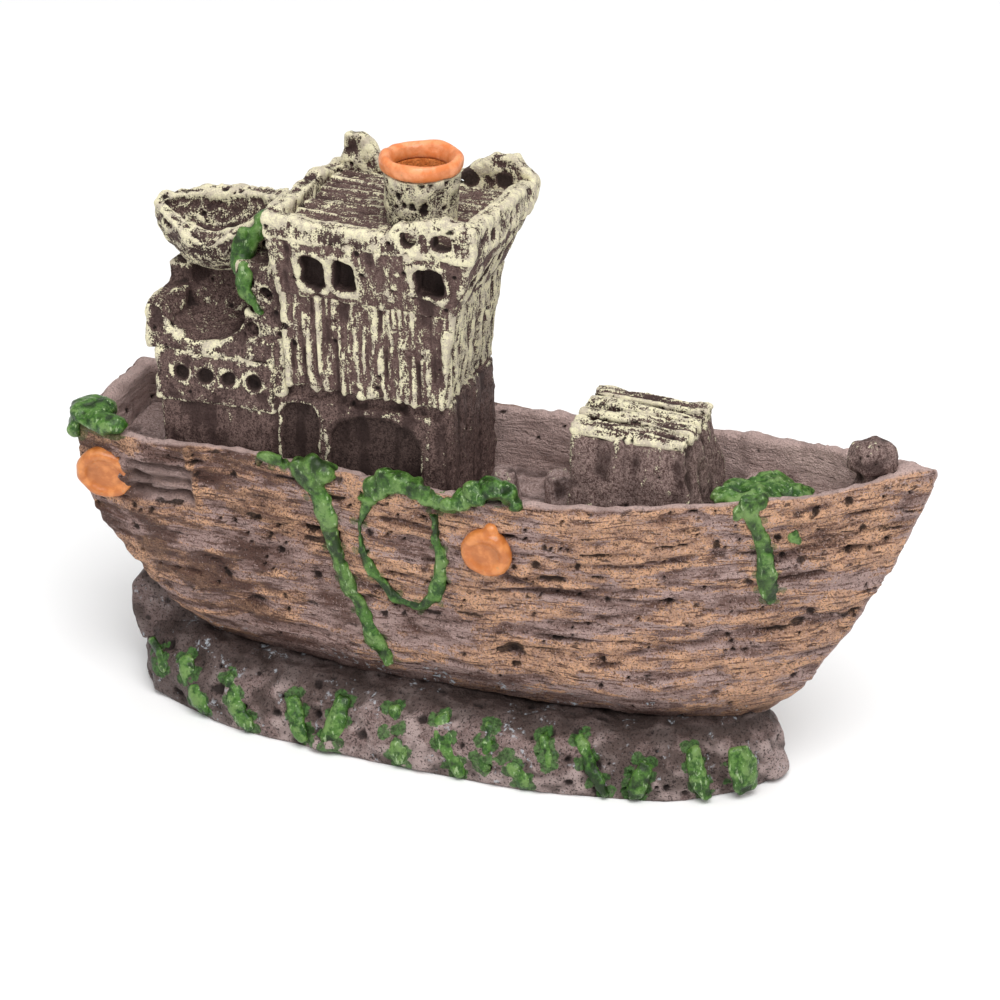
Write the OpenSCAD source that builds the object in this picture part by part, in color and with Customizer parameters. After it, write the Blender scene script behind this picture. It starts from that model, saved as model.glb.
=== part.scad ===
// Sunken trawler ornament for an aquarium, cast in resin, with an air stone in its funnel.
// +X runs to the bow, +Y to port and +Z up. The origin is on the resting face, below amidships.

/* [Seabed base] */
// Length of the rock plinth
base_len = 91.6; // [88:0.2:94]
// Greatest width of the rock plinth
base_w = 32.8; // [31:0.2:35]
// Height of the rock plinth
base_h = 9; // [8.5:0.1:10]
// Centre of the plinth along the ship
base_x = -6.2; // [-7:0.1:-5]

/* [Hull] */
// Aft face of the transom at the rail
stern_x = -56; // [-57:0.5:-55]
// Stem head, the foremost point
stem_x = 58.5; // [57:0.5:60]
// Height of the rail amidships
rail_z = 40.6; // [40:0.1:42]
// How far the rail climbs at the stem
sheer_rise = 8; // [6:0.5:9]
// Greatest half breadth at the rail
half_beam = 14.2; // [13.5:0.1:14.8]
// Thickness of the bulwark
bulwark_t = 2; // [1.8:0.1:2.4]
// Floor of the open well inside the bulwarks
well_z = 31.6; // [31:0.1:32]

/* [Decks] */
// Thickness of the main deck
deck_t = 1.4; // [1.2:0.1:1.6]
// Top of the raised foredeck
fore_deck_z = 39; // [38:0.1:40]
// Top of the raised after deck
aft_deck_z = 35.6; // [35:0.1:36]

/* [Deckhouse] */
// After end of the cabins
cabin_aft_x = -43.4; // [-44:0.1:-43]
// Forward end of the cabins
cabin_fore_x = -4.2; // [-4.4:0.1:-4]
// Half width of the cabins
cabin_half_w = 9; // [8.8:0.1:9.2]
// Top of the arcade cabin under the tower
arcade_z = 48.4; // [48.2:0.1:48.8]
// Underside of the tower
tower_z = 50.4; // [50:0.1:50.8]
// Underside of the bridge windows
bridge_z = 63.4; // [63:0.1:64]
// Floor of the open bridge
bridge_floor_z = 72.6; // [72.4:0.1:73]

/* [Funnel and air line] */
// Axis of the funnel along the ship
funnel_x = -9.8; // [-10:0.1:-9.6]
// Axis of the funnel across the ship
funnel_y = -2; // [-2.2:0.1:-1.8]
// Mouth of the funnel
funnel_top_z = 81.8; // [81:0.1:82]
// Radius of the well in the funnel
well_r = 3.5; // [3.4:0.05:3.6]
// Radius of the air stone
stone_r = 3.1; // [3:0.05:3.15]
// Length of the air stone
stone_len = 4.6; // [4:0.1:4.8]
// Outer radius of the riser tube
riser_r = 2; // [1.9:0.05:2.1]
// Outer radius of the inlet stub, for 4 mm airline
stub_r = 2.25; // [2.2:0.05:2.4]
// How far the inlet stub stands out of the plinth
stub_out = 7; // [6:0.5:8]

/* [Cargo hatch] */
// After end of the hatch
hatch_x = 12.2; // [12:0.1:13]
// Length of the hatch
hatch_len = 14.6; // [14:0.1:15]
// Width of the hatch
hatch_w = 12; // [11:0.1:12.5]
// Top of the hatch coaming
hatch_z = 48.6; // [48:0.1:49]

/* [Life rings] */
// Radius of a life ring
ring_r = 3.4; // [3.2:0.1:3.6]
// Radius of the rings on the stern quarters
aft_ring_r = 3.8; // [3.5:0.1:4]
// Thickness of a life ring
ring_t = 1.3; // [1.1:0.1:1.5]

/* [Hidden] */
$fn = 48;
base_exp = 2.3;            // roundness of the plinth's outline
deck_z = well_z + deck_t;  // top of the main deck
keel_aft_x = -39.5;        // ends of the hull's foot, where it meets the plinth
keel_fore_x = 38.5;
knuckle_z = 27.5;          // where the upright transom turns under into the counter
foot_half_w = 10;          // half breadth of the hull's foot
transom_half_w = 10.6;     // half breadth at the transom
well_aft_x = -53.6;        // ends of the open well
well_fore_x = 51;
ring_mid_x = 3.2;          // middles of the life rings, by x and z
ring_mid_z = 33.4;
ring_aft_x = -51.6;
ring_aft_z = 34.1;
cabin_step_x = -27.6;      // where the after cabins meet the arcade cabin
lower_cabin_h = 12.8;      // height of the after cabin's plain wall
porthole_h = 7;            // height of the porthole band
porthole_z = 49.9;         // centres of the portholes
bridge_plate_t = 0.8;      // thickness of the bridge floor
parapet_t = 1.8;           // thickness of the parapet's end walls
hatch_y = -1.5;            // middle of the hatch, a little to starboard
fore_deck_x = 31;          // step up to the foredeck
aft_deck_x = -45.4;        // step up to the after deck
funnel_z = bridge_floor_z; // foot of the funnel
stone_z = funnel_z + 0.7;  // underside of the air stone
rim_z = funnel_top_z - 2.2; // underside of the painted rim
deck_plate_t = 1.2;        // thickness of the raised decks
inlet_z = 4.2;             // axis of the inlet stub
inlet_r = 3.3;             // outer radius of the elbow's hub
bore_gap = 0.15;           // radial clearance round the riser tube
inlet_y = 16.9;            // just outside the plinth's side, where the stub begins
arm_r = stub_r + 0.35;     // outer radius of the elbow's arm, inside the plinth
riser_bore_r = 1.28;       // inner radius of the riser tube
nipple_r = 1.2;            // outer radius of the nipple under the air stone
nipple_bore_r = 0.7;       // bore of the nipple
nipple_len = 4;            // how far the nipple reaches down the riser tube
airway_r = 1.5;            // bore of the elbow

// ---- shared functions ----

// Joins rings of points, all of one length, into a closed solid. Each flat end is filled with
// strips between a ring's first points and its last, so a mirrored ring may curve along the ship.
module loft(rings) {
    n = len(rings[0]);
    m = len(rings);
    top = (m - 1)*n;
    sides = [for (i = [0:m - 2], j = [0:n - 1]) let (k = (j + 1) % n)
        each [[i*n + j, i*n + k, (i + 1)*n + k], [i*n + j, (i + 1)*n + k, (i + 1)*n + j]]];
    strips = [for (i = [0:floor(n/2) - 2]) [i, i + 1, n - 2 - i, n - 1 - i]];
    ends = n % 2 == 0 ? strips : concat(strips, [[(n - 3)/2, (n - 1)/2, (n + 1)/2]]);
    lower = [for (e = ends) [for (q = [len(e) - 1:-1:0]) e[q]]];
    upper = [for (e = ends) [for (q = e) top + q]];
    polyhedron([for (r = rings) each r], concat(sides, lower, upper), convexity = 8);
}

function mix(a, b, t) = a + (b - a)*t;
function clamp01(t) = max(0, min(1, t));
function smooth(t) = let (u = clamp01(t)) u*u*(3 - 2*u);

// A point at angle a on a superellipse.
function super_point(a, rx, ry, n) =
    [rx*sign(cos(a))*pow(abs(cos(a)), 2/n), ry*sign(sin(a))*pow(abs(sin(a)), 2/n)];

// ---- hull form ----

// Height of the rail at x.
function sheer(x) = rail_z + sheer_rise*pow(max(0, x + 2)/60.5, 1.8);
// Height on the side as a share, 0 at the foot and 1 at the rail.
function side_t(x, z) = clamp01((z - base_h)/(sheer(x) - base_h));
// After and forward ends of the hull at a share of its height.
knuckle_t = (knuckle_z - base_h)/(rail_z - base_h);
function aft_end(t) = t < knuckle_t
    ? mix(keel_aft_x, stern_x + 1, pow(t/knuckle_t, 0.95))
    : stern_x + 1 - smooth((t - knuckle_t)/(1 - knuckle_t));
function fore_end(t) = keel_fore_x + (stem_x - keel_fore_x)*(1 - pow(1 - t, 1.25));
// Half breadth at a share s of the length and t of the height.
function rail_plan(s) = s < 0.55
    ? mix(transom_half_w, half_beam, 0.58*smooth(s/0.1) + 0.42*smooth((s - 0.3)/0.25))
    : half_beam*pow(1 - pow((s - 0.55)/0.45, 2.1), 0.9);
function foot_plan(s) = foot_half_w*pow(max(0, 1 - pow(abs(2*s - 0.9)/1.1, 2.6)), 0.6);
function half_breadth_at(s, t) = max(0.55, mix(foot_plan(s), rail_plan(s), pow(t, 0.75)));
function half_breadth(x, z) = let (t = side_t(x, z), a = aft_end(t), f = fore_end(t))
    half_breadth_at(clamp01((x - a)/(f - a)), t);
// Half breadth of the open well at x.
function well_half(x) = max(0.3, half_breadth(x, sheer(x)) - bulwark_t);

side_steps = 9;
// One cross-section of the hull. floor_z is the bottom of the open well there, or 0 where it is closed.
function hull_station(s, floor_z) = let (
    side = [for (i = [0:side_steps]) let (t = i/side_steps, x = mix(aft_end(t), fore_end(t), s))
        [x, half_breadth_at(s, t), mix(base_h, sheer(x), t)]],
    xr = side[side_steps][0],
    zr = side[side_steps][2],
    yi = max(0.3, half_breadth_at(s, 1) - bulwark_t),
    inner = floor_z > 0 ? [[xr, yi, zr + 0.1], [xr, max(0.25, yi - 0.6), floor_z]]
                        : [[xr, yi, zr + 0.12], [xr, yi*0.5, zr + 0.2]],
    half = concat(side, inner)
) concat([for (p = half) [p[0], -p[1], p[2]]], [for (i = [len(half) - 1:-1:0]) half[i]]);

function share_of(x) = (x - stern_x)/(stem_x - stern_x);

// The cross-sections of one stretch of the open well.
function open_stretch(x0, x1, floor_z, steps) =
    [for (i = [0:steps]) hull_station(share_of(mix(x0 + 0.2, x1 - 0.2, i/steps)), floor_z)];

module hull_form() {
    a = share_of(well_aft_x);
    f = share_of(well_fore_x);
    loft(concat(
        [hull_station(0, 0), hull_station(0.5*a, 0), hull_station(a, 0)],
        open_stretch(well_aft_x, aft_deck_x, aft_deck_z - deck_plate_t, 3),
        open_stretch(aft_deck_x, fore_deck_x, well_z, 22),
        open_stretch(fore_deck_x, well_fore_x, fore_deck_z - deck_plate_t, 7),
        [hull_station(f, 0), hull_station(mix(f, 1, 0.5), 0), hull_station(1, 0)]));
}

module riser_bore(z0, z1) {
    translate([funnel_x, funnel_y, z0]) cylinder(r = riser_r + bore_gap, h = z1 - z0);
}

// ---- plinth and hull ----

// Outline of the plinth at one height, with the slow lobes of a rock edge.
function plinth_ring(z, rx, ry) = [for (i = [0:63]) let (a = 360*i/64,
    lobe = 1 + 0.012*sin(5*a + 40) + 0.01*sin(9*a + 100) + 0.006*sin(14*a + 10),
    p = super_point(a, rx*lobe, ry*lobe, base_exp)) [base_x + p[0], p[1], z]];

module seabed_base() {
    rx = base_len/2 - 0.8;
    ry = base_w/2 - 0.3;
    color([0.52, 0.42, 0.42]) difference() {
        loft([plinth_ring(0, rx*0.985, ry*0.975), plinth_ring(1.2, rx, ry),
            plinth_ring(base_h*0.4, rx*0.995, ry*0.985), plinth_ring(base_h*0.7, rx*0.975, ry*0.9),
            plinth_ring(base_h*0.9, rx*0.95, ry*0.78), plinth_ring(base_h, rx*0.92, ry*0.68)]);
        riser_bore(inlet_z, base_h + 1);
        // channel for the elbow, open below so that the air line can be fitted
        translate([funnel_x, funnel_y, -1]) cylinder(r = inlet_r + 0.2, h = inlet_z - arm_r + 6.8);
        translate([funnel_x - arm_r - 0.2, funnel_y, -1]) cube([2*arm_r + 0.4, 40, inlet_z + 1]);
        translate([funnel_x, funnel_y, inlet_z]) rotate([-90, 0, 0]) cylinder(r = arm_r + 0.2, h = 40);
    }
}

module ship_hull() {
    color([0.55, 0.40, 0.33]) difference() {
        hull_form();
        riser_bore(base_h - 1, deck_z + 1);
    }
}

// A deck that fills the well between two stations.
module deck_between(x0, x1, z0, z1, steps) {
    outline = [for (i = [0:steps]) let (x = mix(x0, x1, i/steps)) [x, well_half(x) - 0.75]];
    translate([0, 0, z0]) linear_extrude(height = z1 - z0)
        polygon(concat([for (p = outline) [p[0], -p[1]]],
            [for (i = [steps:-1:0]) outline[i]]));
}

module main_deck() {
    color([0.42, 0.33, 0.33]) difference() {
        deck_between(aft_deck_x + 0.3, fore_deck_x - 0.3, well_z, deck_z, 20);
        riser_bore(well_z - 1, deck_z + 1);
    }
}

module foredeck() {
    color([0.45, 0.35, 0.33])
        deck_between(fore_deck_x + 0.3, 48.4, fore_deck_z - deck_plate_t, fore_deck_z, 12);
}

module after_deck() {
    color([0.42, 0.33, 0.33])
        deck_between(-53, aft_deck_x - 0.3, aft_deck_z - deck_plate_t, aft_deck_z, 6);
}

module rudder_post() {
    color([0.50, 0.40, 0.40]) translate([0, 3.4, 0]) rotate([90, 0, 0])
        linear_extrude(height = 6.8)
        polygon([[-50.8, 5], [-52, 8.6], [-52.2, 13], [-50.4, 15.2], [-46.4, 16.4],
            [-42, 13.4], [-38.4, 9.6], [-38.4, 7]]);
}

// ---- deckhouse ----

// A box whose sides lean, from a lower rectangle to an upper one.
module leaning_box(lower, upper) {
    ring = function(b) [[b[0], b[2], b[4]], [b[1], b[2], b[4]], [b[1], b[3], b[4]], [b[0], b[3], b[4]]];
    loft([ring(lower), ring(upper)]);
}

// A round headed recess cut into the side of a cabin, from both sides.
module arch(x0, x1, z0, z1, half_w, depth) {
    r = (x1 - x0)/2;
    for (side = [-1, 1]) translate([(x0 + x1)/2, side*(half_w - depth/2 + 0.5), 0])
        rotate([90, 0, 0]) translate([0, 0, -depth/2 - 0.5]) linear_extrude(height = depth + 1)
        union() {
            translate([-r, z0]) square([2*r, z1 - z0 - r*0.55]);
            translate([0, z1 - r*0.55]) scale([1, 0.55]) circle(r = r, $fn = 10);
        }
}

module arcade_cabin() {
    color([0.40, 0.31, 0.32]) difference() {
        union() {
            translate([cabin_aft_x, -cabin_half_w, deck_z])
                cube([cabin_fore_x - cabin_aft_x, 2*cabin_half_w, lower_cabin_h]);
            translate([cabin_step_x, -cabin_half_w, deck_z])
                cube([cabin_fore_x - cabin_step_x, 2*cabin_half_w, arcade_z - deck_z]);
            translate([cabin_step_x + 1, 1 - cabin_half_w, deck_z])
                cube([cabin_fore_x - cabin_step_x - 0.4, 2*cabin_half_w - 2, tower_z - deck_z]);
        }
        arch(-26.6, -21.6, deck_z + 1, 47.8, cabin_half_w, 1.4);
        arch(-20.2, -7.6, deck_z + 1, 47.4, cabin_half_w, 1.4);
        riser_bore(deck_z - 1, tower_z + 1);
    }
}

module porthole_cabin() {
    floor_z = deck_z + lower_cabin_h;
    color([0.42, 0.33, 0.34]) difference() {
        translate([cabin_aft_x - 0.6, -cabin_half_w - 0.5, floor_z])
            cube([cabin_step_x - cabin_aft_x + 0.6, 2*cabin_half_w + 1, porthole_h]);
        for (side = [-1, 1], x = [-40.5, -37, -33.8, -30.2])
            translate([x, side*(cabin_half_w - 0.4), porthole_z]) rotate([-90*side, 0, 0])
                cylinder(r = 1.1, h = 2, $fn = 24);
    }
}

module niche_cabin() {
    z0 = deck_z + lower_cabin_h + porthole_h;
    color([0.44, 0.35, 0.36]) difference() {
        union() {
            translate([-45.2, -9.4, z0]) cube([17.8, 18.8, 3]);
            translate([-45.2, -9.4, z0]) cube([3, 18.8, 6]);
            translate([-45.2, -2, z0]) cube([17.6, 11.4, 8.6]);
            translate([-42.6, -2.2, z0]) cube([9.2, 5.4, 10.6]);
            translate([-32.4, -8.8, z0]) cube([5, 17.6, 13]);
            translate([cabin_step_x, -8.8, arcade_z]) cube([1.4, 17.6, 19.4]);
        }
        // the scoop worn out of the starboard side
        translate([-37.4, -7.4, 60.6]) scale([1, 1.15, 1]) sphere(r = 6.4, $fn = 32);
        for (side = [-1, 1],
            p = [[-30.8, 63.6, 1], [-28.6, 62.4, 0.9], [-30.2, 60.2, 0.9], [-30.4, 57, 1.1]])
            translate([p[0], side*7.6, p[1]]) rotate([-90*side, 0, 0])
                cylinder(r = p[2], h = 3, $fn = 20);
    }
}

// Section of the broken boat at x, from rail to keel; the starboard rail is worn lower.
function boat_ring(x, half_w, keel_z, rail_s, rail_p) = [
    [x, half_w, rail_p], [x, half_w*0.86, mix(keel_z, rail_p, 0.5)], [x, half_w*0.5, keel_z + 0.7],
    [x, 0, keel_z], [x, -half_w*0.5, keel_z + 0.7], [x, -half_w*0.86, mix(keel_z, rail_s, 0.5)],
    [x, -half_w, rail_s]];

module aft_boat() {
    shift_y = 0.4;
    color([0.45, 0.36, 0.36]) translate([0, shift_y, 0]) difference() {
        loft([boat_ring(-47.4, 0.8, 66, 69, 69.4), boat_ring(-45.4, 3, 63, 68.4, 69.4),
            boat_ring(-42, 5, 61.4, 67, 69.6), boat_ring(-38, 5.8, 61.2, 66, 70),
            boat_ring(-34, 5.4, 61.6, 68, 70.6), boat_ring(-30.4, 4, 63.4, 71, 71.4)]);
        loft([boat_ring(-46.2, 0.5, 67.4, 71, 71), boat_ring(-44.8, 1.9, 65.6, 71, 71),
            boat_ring(-42, 3.8, 64.4, 71.6, 71.6), boat_ring(-38, 4.5, 64.2, 72, 72),
            boat_ring(-34, 4, 64.8, 72.6, 72.6), boat_ring(-31.6, 2.4, 66, 73, 73)]);
    }
}

module tower() {
    color([0.46, 0.38, 0.38]) difference() {
        leaning_box([-25.8, -4.2, -9.2, 9.2, tower_z], [-26, -2.8, -9.6, 9.6, bridge_z]);
        riser_bore(tower_z - 1, bridge_z + 1);
    }
}

module bridge_house() {
    top = bridge_floor_z - bridge_plate_t;
    color([0.50, 0.43, 0.40]) difference() {
        leaning_box([-26.2, -2.8, -9.8, 9.8, bridge_z], [-27.2, 0.6, -11.8, 11.8, top]);
        for (side = [-1, 1], w = [[-21.2, 67.3, 3.2, 4.8], [-17, 67.4, 3.1, 4.8], [-5.3, 68.3, 3.8, 3.8]])
            translate([w[0] - w[2]/2, side*10.2 - 1.6, w[1] - w[3]/2]) cube([w[2], 3.2, w[3]]);
        for (y = [-7.4, -2.4, 2.4])
            translate([-3.2, y - 1.1, 65.8]) cube([4, 2.2, 3.6]);
        riser_bore(bridge_z - 1, top + 1);
    }
}

module bridge_floor() {
    z0 = bridge_floor_z - bridge_plate_t;
    color([0.45, 0.37, 0.36]) difference() {
        translate([-25.4, -10.2, z0]) cube([24.2, 20.4, bridge_plate_t]);
        for (y = [-8.5:1.7:8.5])
            translate([-26, y - 0.15, bridge_floor_z - 0.3]) cube([26, 0.3, 1]);
        riser_bore(z0 - 1, z0 + 2);
        translate([funnel_x, funnel_y, bridge_floor_z - 0.4]) cylinder(r = 4.6, h = 1);
    }
    color([0.45, 0.37, 0.36]) difference() {
        translate([funnel_x, funnel_y, z0]) cylinder(r = 4.6, h = bridge_plate_t);
        riser_bore(z0 - 1, z0 + 2);
    }
}

// One wall of the parapet: its profile along the ship, w thick across it.
module wall_along(profile, y0, w) {
    translate([0, y0 + w, 0]) rotate([90, 0, 0]) linear_extrude(height = w) polygon(profile);
}
module wall_across(profile, x0, w) {
    translate([x0, 0, 0]) rotate([90, 0, 90]) linear_extrude(height = w) polygon(profile);
}

module bridge_parapet() {
    z0 = bridge_floor_z - bridge_plate_t;
    color([0.62, 0.56, 0.48]) difference() {
        union() {
            wall_along([[-27.4, z0], [1, z0], [1, 76.4], [-3, 77.2], [-9.6, 75.9], [-10.4, 74.6],
                [-16, 74.2], [-22, 74.4], [-27.4, 75]], -12, 1.7);
            wall_along([[-27.4, z0], [1, z0], [1, 74.6], [-1.6, 77.2], [-5, 77.4], [-9, 74.4],
                [-19.6, 74], [-22.6, 77.8], [-24.8, 77.6], [-25.6, 74.2], [-27.4, 73]], 10.3, 1.7);
            wall_across([[-10.3, z0], [10.3, z0], [10.3, 74.4], [6, 75.4], [-1, 75.8], [-10.3, 76.4]],
                -0.8, parapet_t);
            wall_across([[-10.3, z0], [10.3, z0], [10.3, 73], [4, 74.2], [-4, 74.2], [-10.3, 75]],
                -27.4, parapet_t);
        }
        translate([-7.7, -13, 74.1]) rotate([-90, 0, 0]) cylinder(r = 1.15, h = 3, $fn = 24);
        translate([-4.3, -13, 73.2]) cube([2.4, 3, 2.2]);
        translate([-9, 9, 73.2]) rotate([-90, 0, 0]) cylinder(r = 0.6, h = 4, $fn = 16);
        for (y = [-5.7, 0.8]) translate([-2, y, 73.7]) rotate([0, 90, 0]) cylinder(r = 0.8, h = 4, $fn = 20);
    }
}

// ---- funnel and air line ----

module funnel() {
    color([0.55, 0.49, 0.44]) translate([funnel_x, funnel_y, 0]) difference() {
        translate([0, 0, funnel_z]) cylinder(r1 = 4.5, r2 = 4.9, h = rim_z - funnel_z);
        translate([0, 0, funnel_z + 0.6]) cylinder(r = well_r, h = 12);
        translate([0, 0, funnel_z - 1]) cylinder(r = riser_r + bore_gap, h = 3);
    }
}

module funnel_rim() {
    h = funnel_top_z - rim_z;
    color([0.93, 0.42, 0.13]) translate([funnel_x, funnel_y, rim_z]) rotate_extrude()
        polygon([[well_r, 0], [4.9, 0], [5.2, 0.4], [5.3, h*0.7], [4.9, h], [4.3, h], [3.9, h*0.8],
            [well_r, h*0.3]]);
}

module air_elbow() {
    color([0.16, 0.16, 0.17]) difference() {
        union() {
            translate([funnel_x, funnel_y, inlet_z - arm_r - 0.4]) cylinder(r = inlet_r, h = 6.2);
            translate([funnel_x, funnel_y, inlet_z]) rotate([-90, 0, 0])
                cylinder(r = arm_r, h = inlet_y - funnel_y);
            translate([funnel_x, funnel_y, inlet_z]) rotate([-90, 0, 0])
                cylinder(r = stub_r, h = inlet_y + stub_out - funnel_y);
        }
        translate([funnel_x, funnel_y, inlet_z]) cylinder(r = riser_r + 0.02, h = 10);
        translate([funnel_x, funnel_y, inlet_z]) sphere(r = airway_r);
        translate([funnel_x, funnel_y, inlet_z]) rotate([-90, 0, 0]) cylinder(r = airway_r, h = 60);
    }
}

module riser_tube() {
    color([0.80, 0.86, 0.88]) translate([funnel_x, funnel_y, inlet_z + 1.4]) difference() {
        cylinder(r = riser_r, h = funnel_z + 0.5 - inlet_z - 1.4);
        translate([0, 0, -1]) cylinder(r = riser_bore_r, h = 90);
    }
}

module air_stone() {
    color([0.55, 0.58, 0.60]) translate([funnel_x, funnel_y, stone_z]) rotate_extrude()
        polygon([[0, 0], [stone_r - 0.4, 0], [stone_r, 0.4], [stone_r, stone_len - 0.6],
            [stone_r - 0.6, stone_len], [0, stone_len]]);
}

module stone_nipple() {
    color([0.75, 0.78, 0.80]) translate([funnel_x, funnel_y, stone_z - nipple_len]) difference() {
        cylinder(r = nipple_r, h = nipple_len);
        translate([0, 0, -1]) cylinder(r = nipple_bore_r, h = nipple_len + 2);
    }
}

// ---- deck fittings ----

module cargo_hatch() {
    x1 = hatch_x + hatch_len;
    y0 = hatch_y - hatch_w/2;
    y1 = y0 + hatch_w;
    color([0.45, 0.37, 0.36])
        leaning_box([hatch_x - 0.6, x1 + 3.6, y0 - 0.9, y1 + 0.9, deck_z],
            [hatch_x, x1, y0, y1, hatch_z]);
}

module hatch_boards() {
    for (i = [0:3]) color([0.78, 0.72, 0.55])
        translate([hatch_x - 0.3, hatch_y + 0.2 - hatch_w/2 + i*3.1, hatch_z])
        cube([hatch_len + 0.6, 2.3, 1.5]);
}

module bow_knob() {
    color([0.45, 0.35, 0.34]) translate([49.8, 0, 0]) rotate_extrude($fn = 32)
        polygon([[0, fore_deck_z], [2.2, fore_deck_z], [2.2, 46.4], [2.9, 47.4], [3.1, 48.8],
            [2.5, 50.3], [1.3, 51.1], [0, 51.3]]);
}

module deck_posts() {
    color([0.44, 0.34, 0.34]) for (p = [[0.6, 0.4, 5.2], [7.4, 2.2, 4.6]])
        translate([p[0], p[1], deck_z]) cylinder(r1 = 2, r2 = 1.5, h = p[2], $fn = 24);
}

// A painted life ring, dished a little, that lies on the hull's side at x, z.
module life_ring(x, z, r, side) {
    y = half_breadth(x, z);
    lean = atan((half_breadth(x, z + 1.5) - half_breadth(x, z - 1.5))/3);
    turn = atan((half_breadth(x + 1.5, z) - half_breadth(x - 1.5, z))/3);
    color([0.93, 0.45, 0.14]) translate([x, side*(y + 0.1), z])
        rotate([0, 0, -side*turn]) rotate([-side*(90 + lean), 0, 0]) rotate_extrude()
        polygon([[0, -0.7], [r - 0.3, -0.7], [r, 0.4], [r - 0.5, ring_t],
            [r - 1.1, ring_t], [r - 1.7, 0.75], [0, 0.95]]);
}

module ring_starboard_mid() { life_ring(ring_mid_x, ring_mid_z, ring_r, -1); }
module ring_port_mid() { life_ring(ring_mid_x, ring_mid_z, ring_r, 1); }
module ring_starboard_aft() { life_ring(ring_aft_x, ring_aft_z, aft_ring_r, -1); }
module ring_port_aft() { life_ring(ring_aft_x, ring_aft_z, aft_ring_r, 1); }

// ---- weed ----

// A strip of weed through points [x, z, width], lying on the side of the hull.
function strip_ring(p, dx, dz, thick, side, rise) = let (
    l = max(0.001, sqrt(dx*dx + dz*dz)), nx = dz/l, nz = -dx/l,
    at = function(u, h) let (x = p[0] + nx*u*p[2], z = p[1] + nz*u*p[2])
        [x, side*(rise(x, z) + h), z]
) [at(-0.5, -0.35), at(-0.46, thick*0.5), at(-0.2, thick), at(0.2, thick), at(0.46, thick*0.5),
    at(0.5, -0.35)];

module weed_strip(points, thick, side, rise) {
    m = len(points);
    rings = [for (i = [0:m - 1]) let (a = points[max(0, i - 1)], b = points[min(m - 1, i + 1)])
        strip_ring(points[i], b[0] - a[0], b[1] - a[1], thick, side, rise)];
    n = len(rings[0]);
    color([0.16, 0.42, 0.14]) loft(side < 0 ? rings : [for (r = rings) [for (j = [n - 1:-1:0]) r[j]]]);
}

on_hull = function(x, z) half_breadth(x, z);
on_plinth = function(x, z) (base_w/2 - 0.3)*(z > 6.3 ? mix(0.9, 0.78, (z - 6.3)/1.8) : mix(0.99, 0.9,
    smooth((z - 3)/3.3)))*pow(max(0.02, 1 - pow(abs(x - base_x)/(base_len/2), base_exp)), 1/base_exp);

// A cushion of weed: a flattened ball.
module weed_cushion(c, r) {
    color([0.16, 0.42, 0.14]) translate(c) scale(r) sphere(r = 1, $fn = 14);
}

module weed_stern() {
    weed_cushion([-54.4, -8.6, 41.6], [3.4, 3, 1.7]);
    weed_cushion([-51, -11, 41.4], [3.2, 1.7, 1.5]);
    weed_cushion([-55.6, -9.2, 39.9], [1.7, 2.4, 1.8]);
}

module weed_long_strand() {
    weed_strip([[-23.4, 41.6, 2], [-22, 40, 3.4], [-20.4, 37, 3.2], [-19.2, 33.6, 2.6], [-18.2, 29.6, 2.8],
        [-17, 25, 2.6], [-15.4, 20.6, 2.2], [-13.6, 16.2, 2.6], [-11.4, 12.6, 1.6]], 0.8, -1, on_hull);
    weed_strip([[-28.4, 40.6, 1], [-26.6, 40.9, 2], [-24.9, 41, 2.2]], 0.7, -1, on_hull);
}

module weed_loop() {
    weed_strip([[-4.4, 41, 1.8], [-7.4, 41.2, 2.2], [-10.6, 40.4, 2], [-13.2, 38.2, 1.8],
        [-14.4, 34.2, 1.6], [-14.2, 30, 1.6], [-12.6, 26.4, 1.7], [-10, 23.8, 1.7], [-7, 22.8, 2],
        [-4.6, 24.4, 1.9], [-3.7, 28, 1.8], [-3.8, 32.6, 1.6], [-4.2, 38, 1.6]], 0.7, -1, on_hull);
}

module weed_midships() {
    weed_cushion([0.4, -13.5, 40.6], [4.6, 1.3, 1.7]);
    weed_cushion([3.6, -13.2, 42], [1.8, 1.1, 1.7]);
    weed_cushion([-1.9, -13.2, 40], [2.2, 1, 1.2]);
}

module weed_bow_mat() {
    weed_cushion([35.6, -4.4, fore_deck_z + 1.4], [5.2, 3.2, 1.9]);
    weed_cushion([33.4, 0.4, fore_deck_z + 1.6], [4.4, 4.8, 1.7]);
    weed_cushion([39, 0.8, fore_deck_z + 1.4], [3.6, 3.2, 1.6]);
    weed_cushion([31.2, -3.6, fore_deck_z + 1.4], [2.4, 2.6, 1.8]);
}

module weed_bow_strand() {
    weed_strip([[37, 45.2, 2.4], [37.5, 42, 1.8], [38.2, 38, 2.2], [38.5, 34, 2.4], [38.8, 31.4, 3],
        [38.8, 29.6, 1.4]], 0.8, -1, on_hull);
}

module weed_tower() {
    weed_cushion([-30.2, -4.6, 70.4], [1.8, 1.5, 1.3]);
    weed_cushion([-32.4, -6, 67.4], [1.7, 1.3, 2.6]);
    weed_cushion([-31.4, -8.6, 63.8], [1.1, 0.9, 2.8]);
}

module weed_port_side() {
    weed_strip([[16, 42.4, 2.2], [16.6, 38, 2.6], [15.4, 33, 2], [13.6, 28, 2.4], [14, 23, 1.4]],
        0.7, 1, on_hull);
    weed_strip([[-30, 40.8, 2.4], [-31, 36, 2], [-29.4, 31, 2.2], [-30.6, 26, 1.2]], 0.7, 1, on_hull);
    weed_strip([[-12, 41, 2], [-9.6, 37.4, 2], [-8.6, 33, 1.6], [-9.6, 29, 1.2]], 0.7, 1, on_hull);
}

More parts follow.
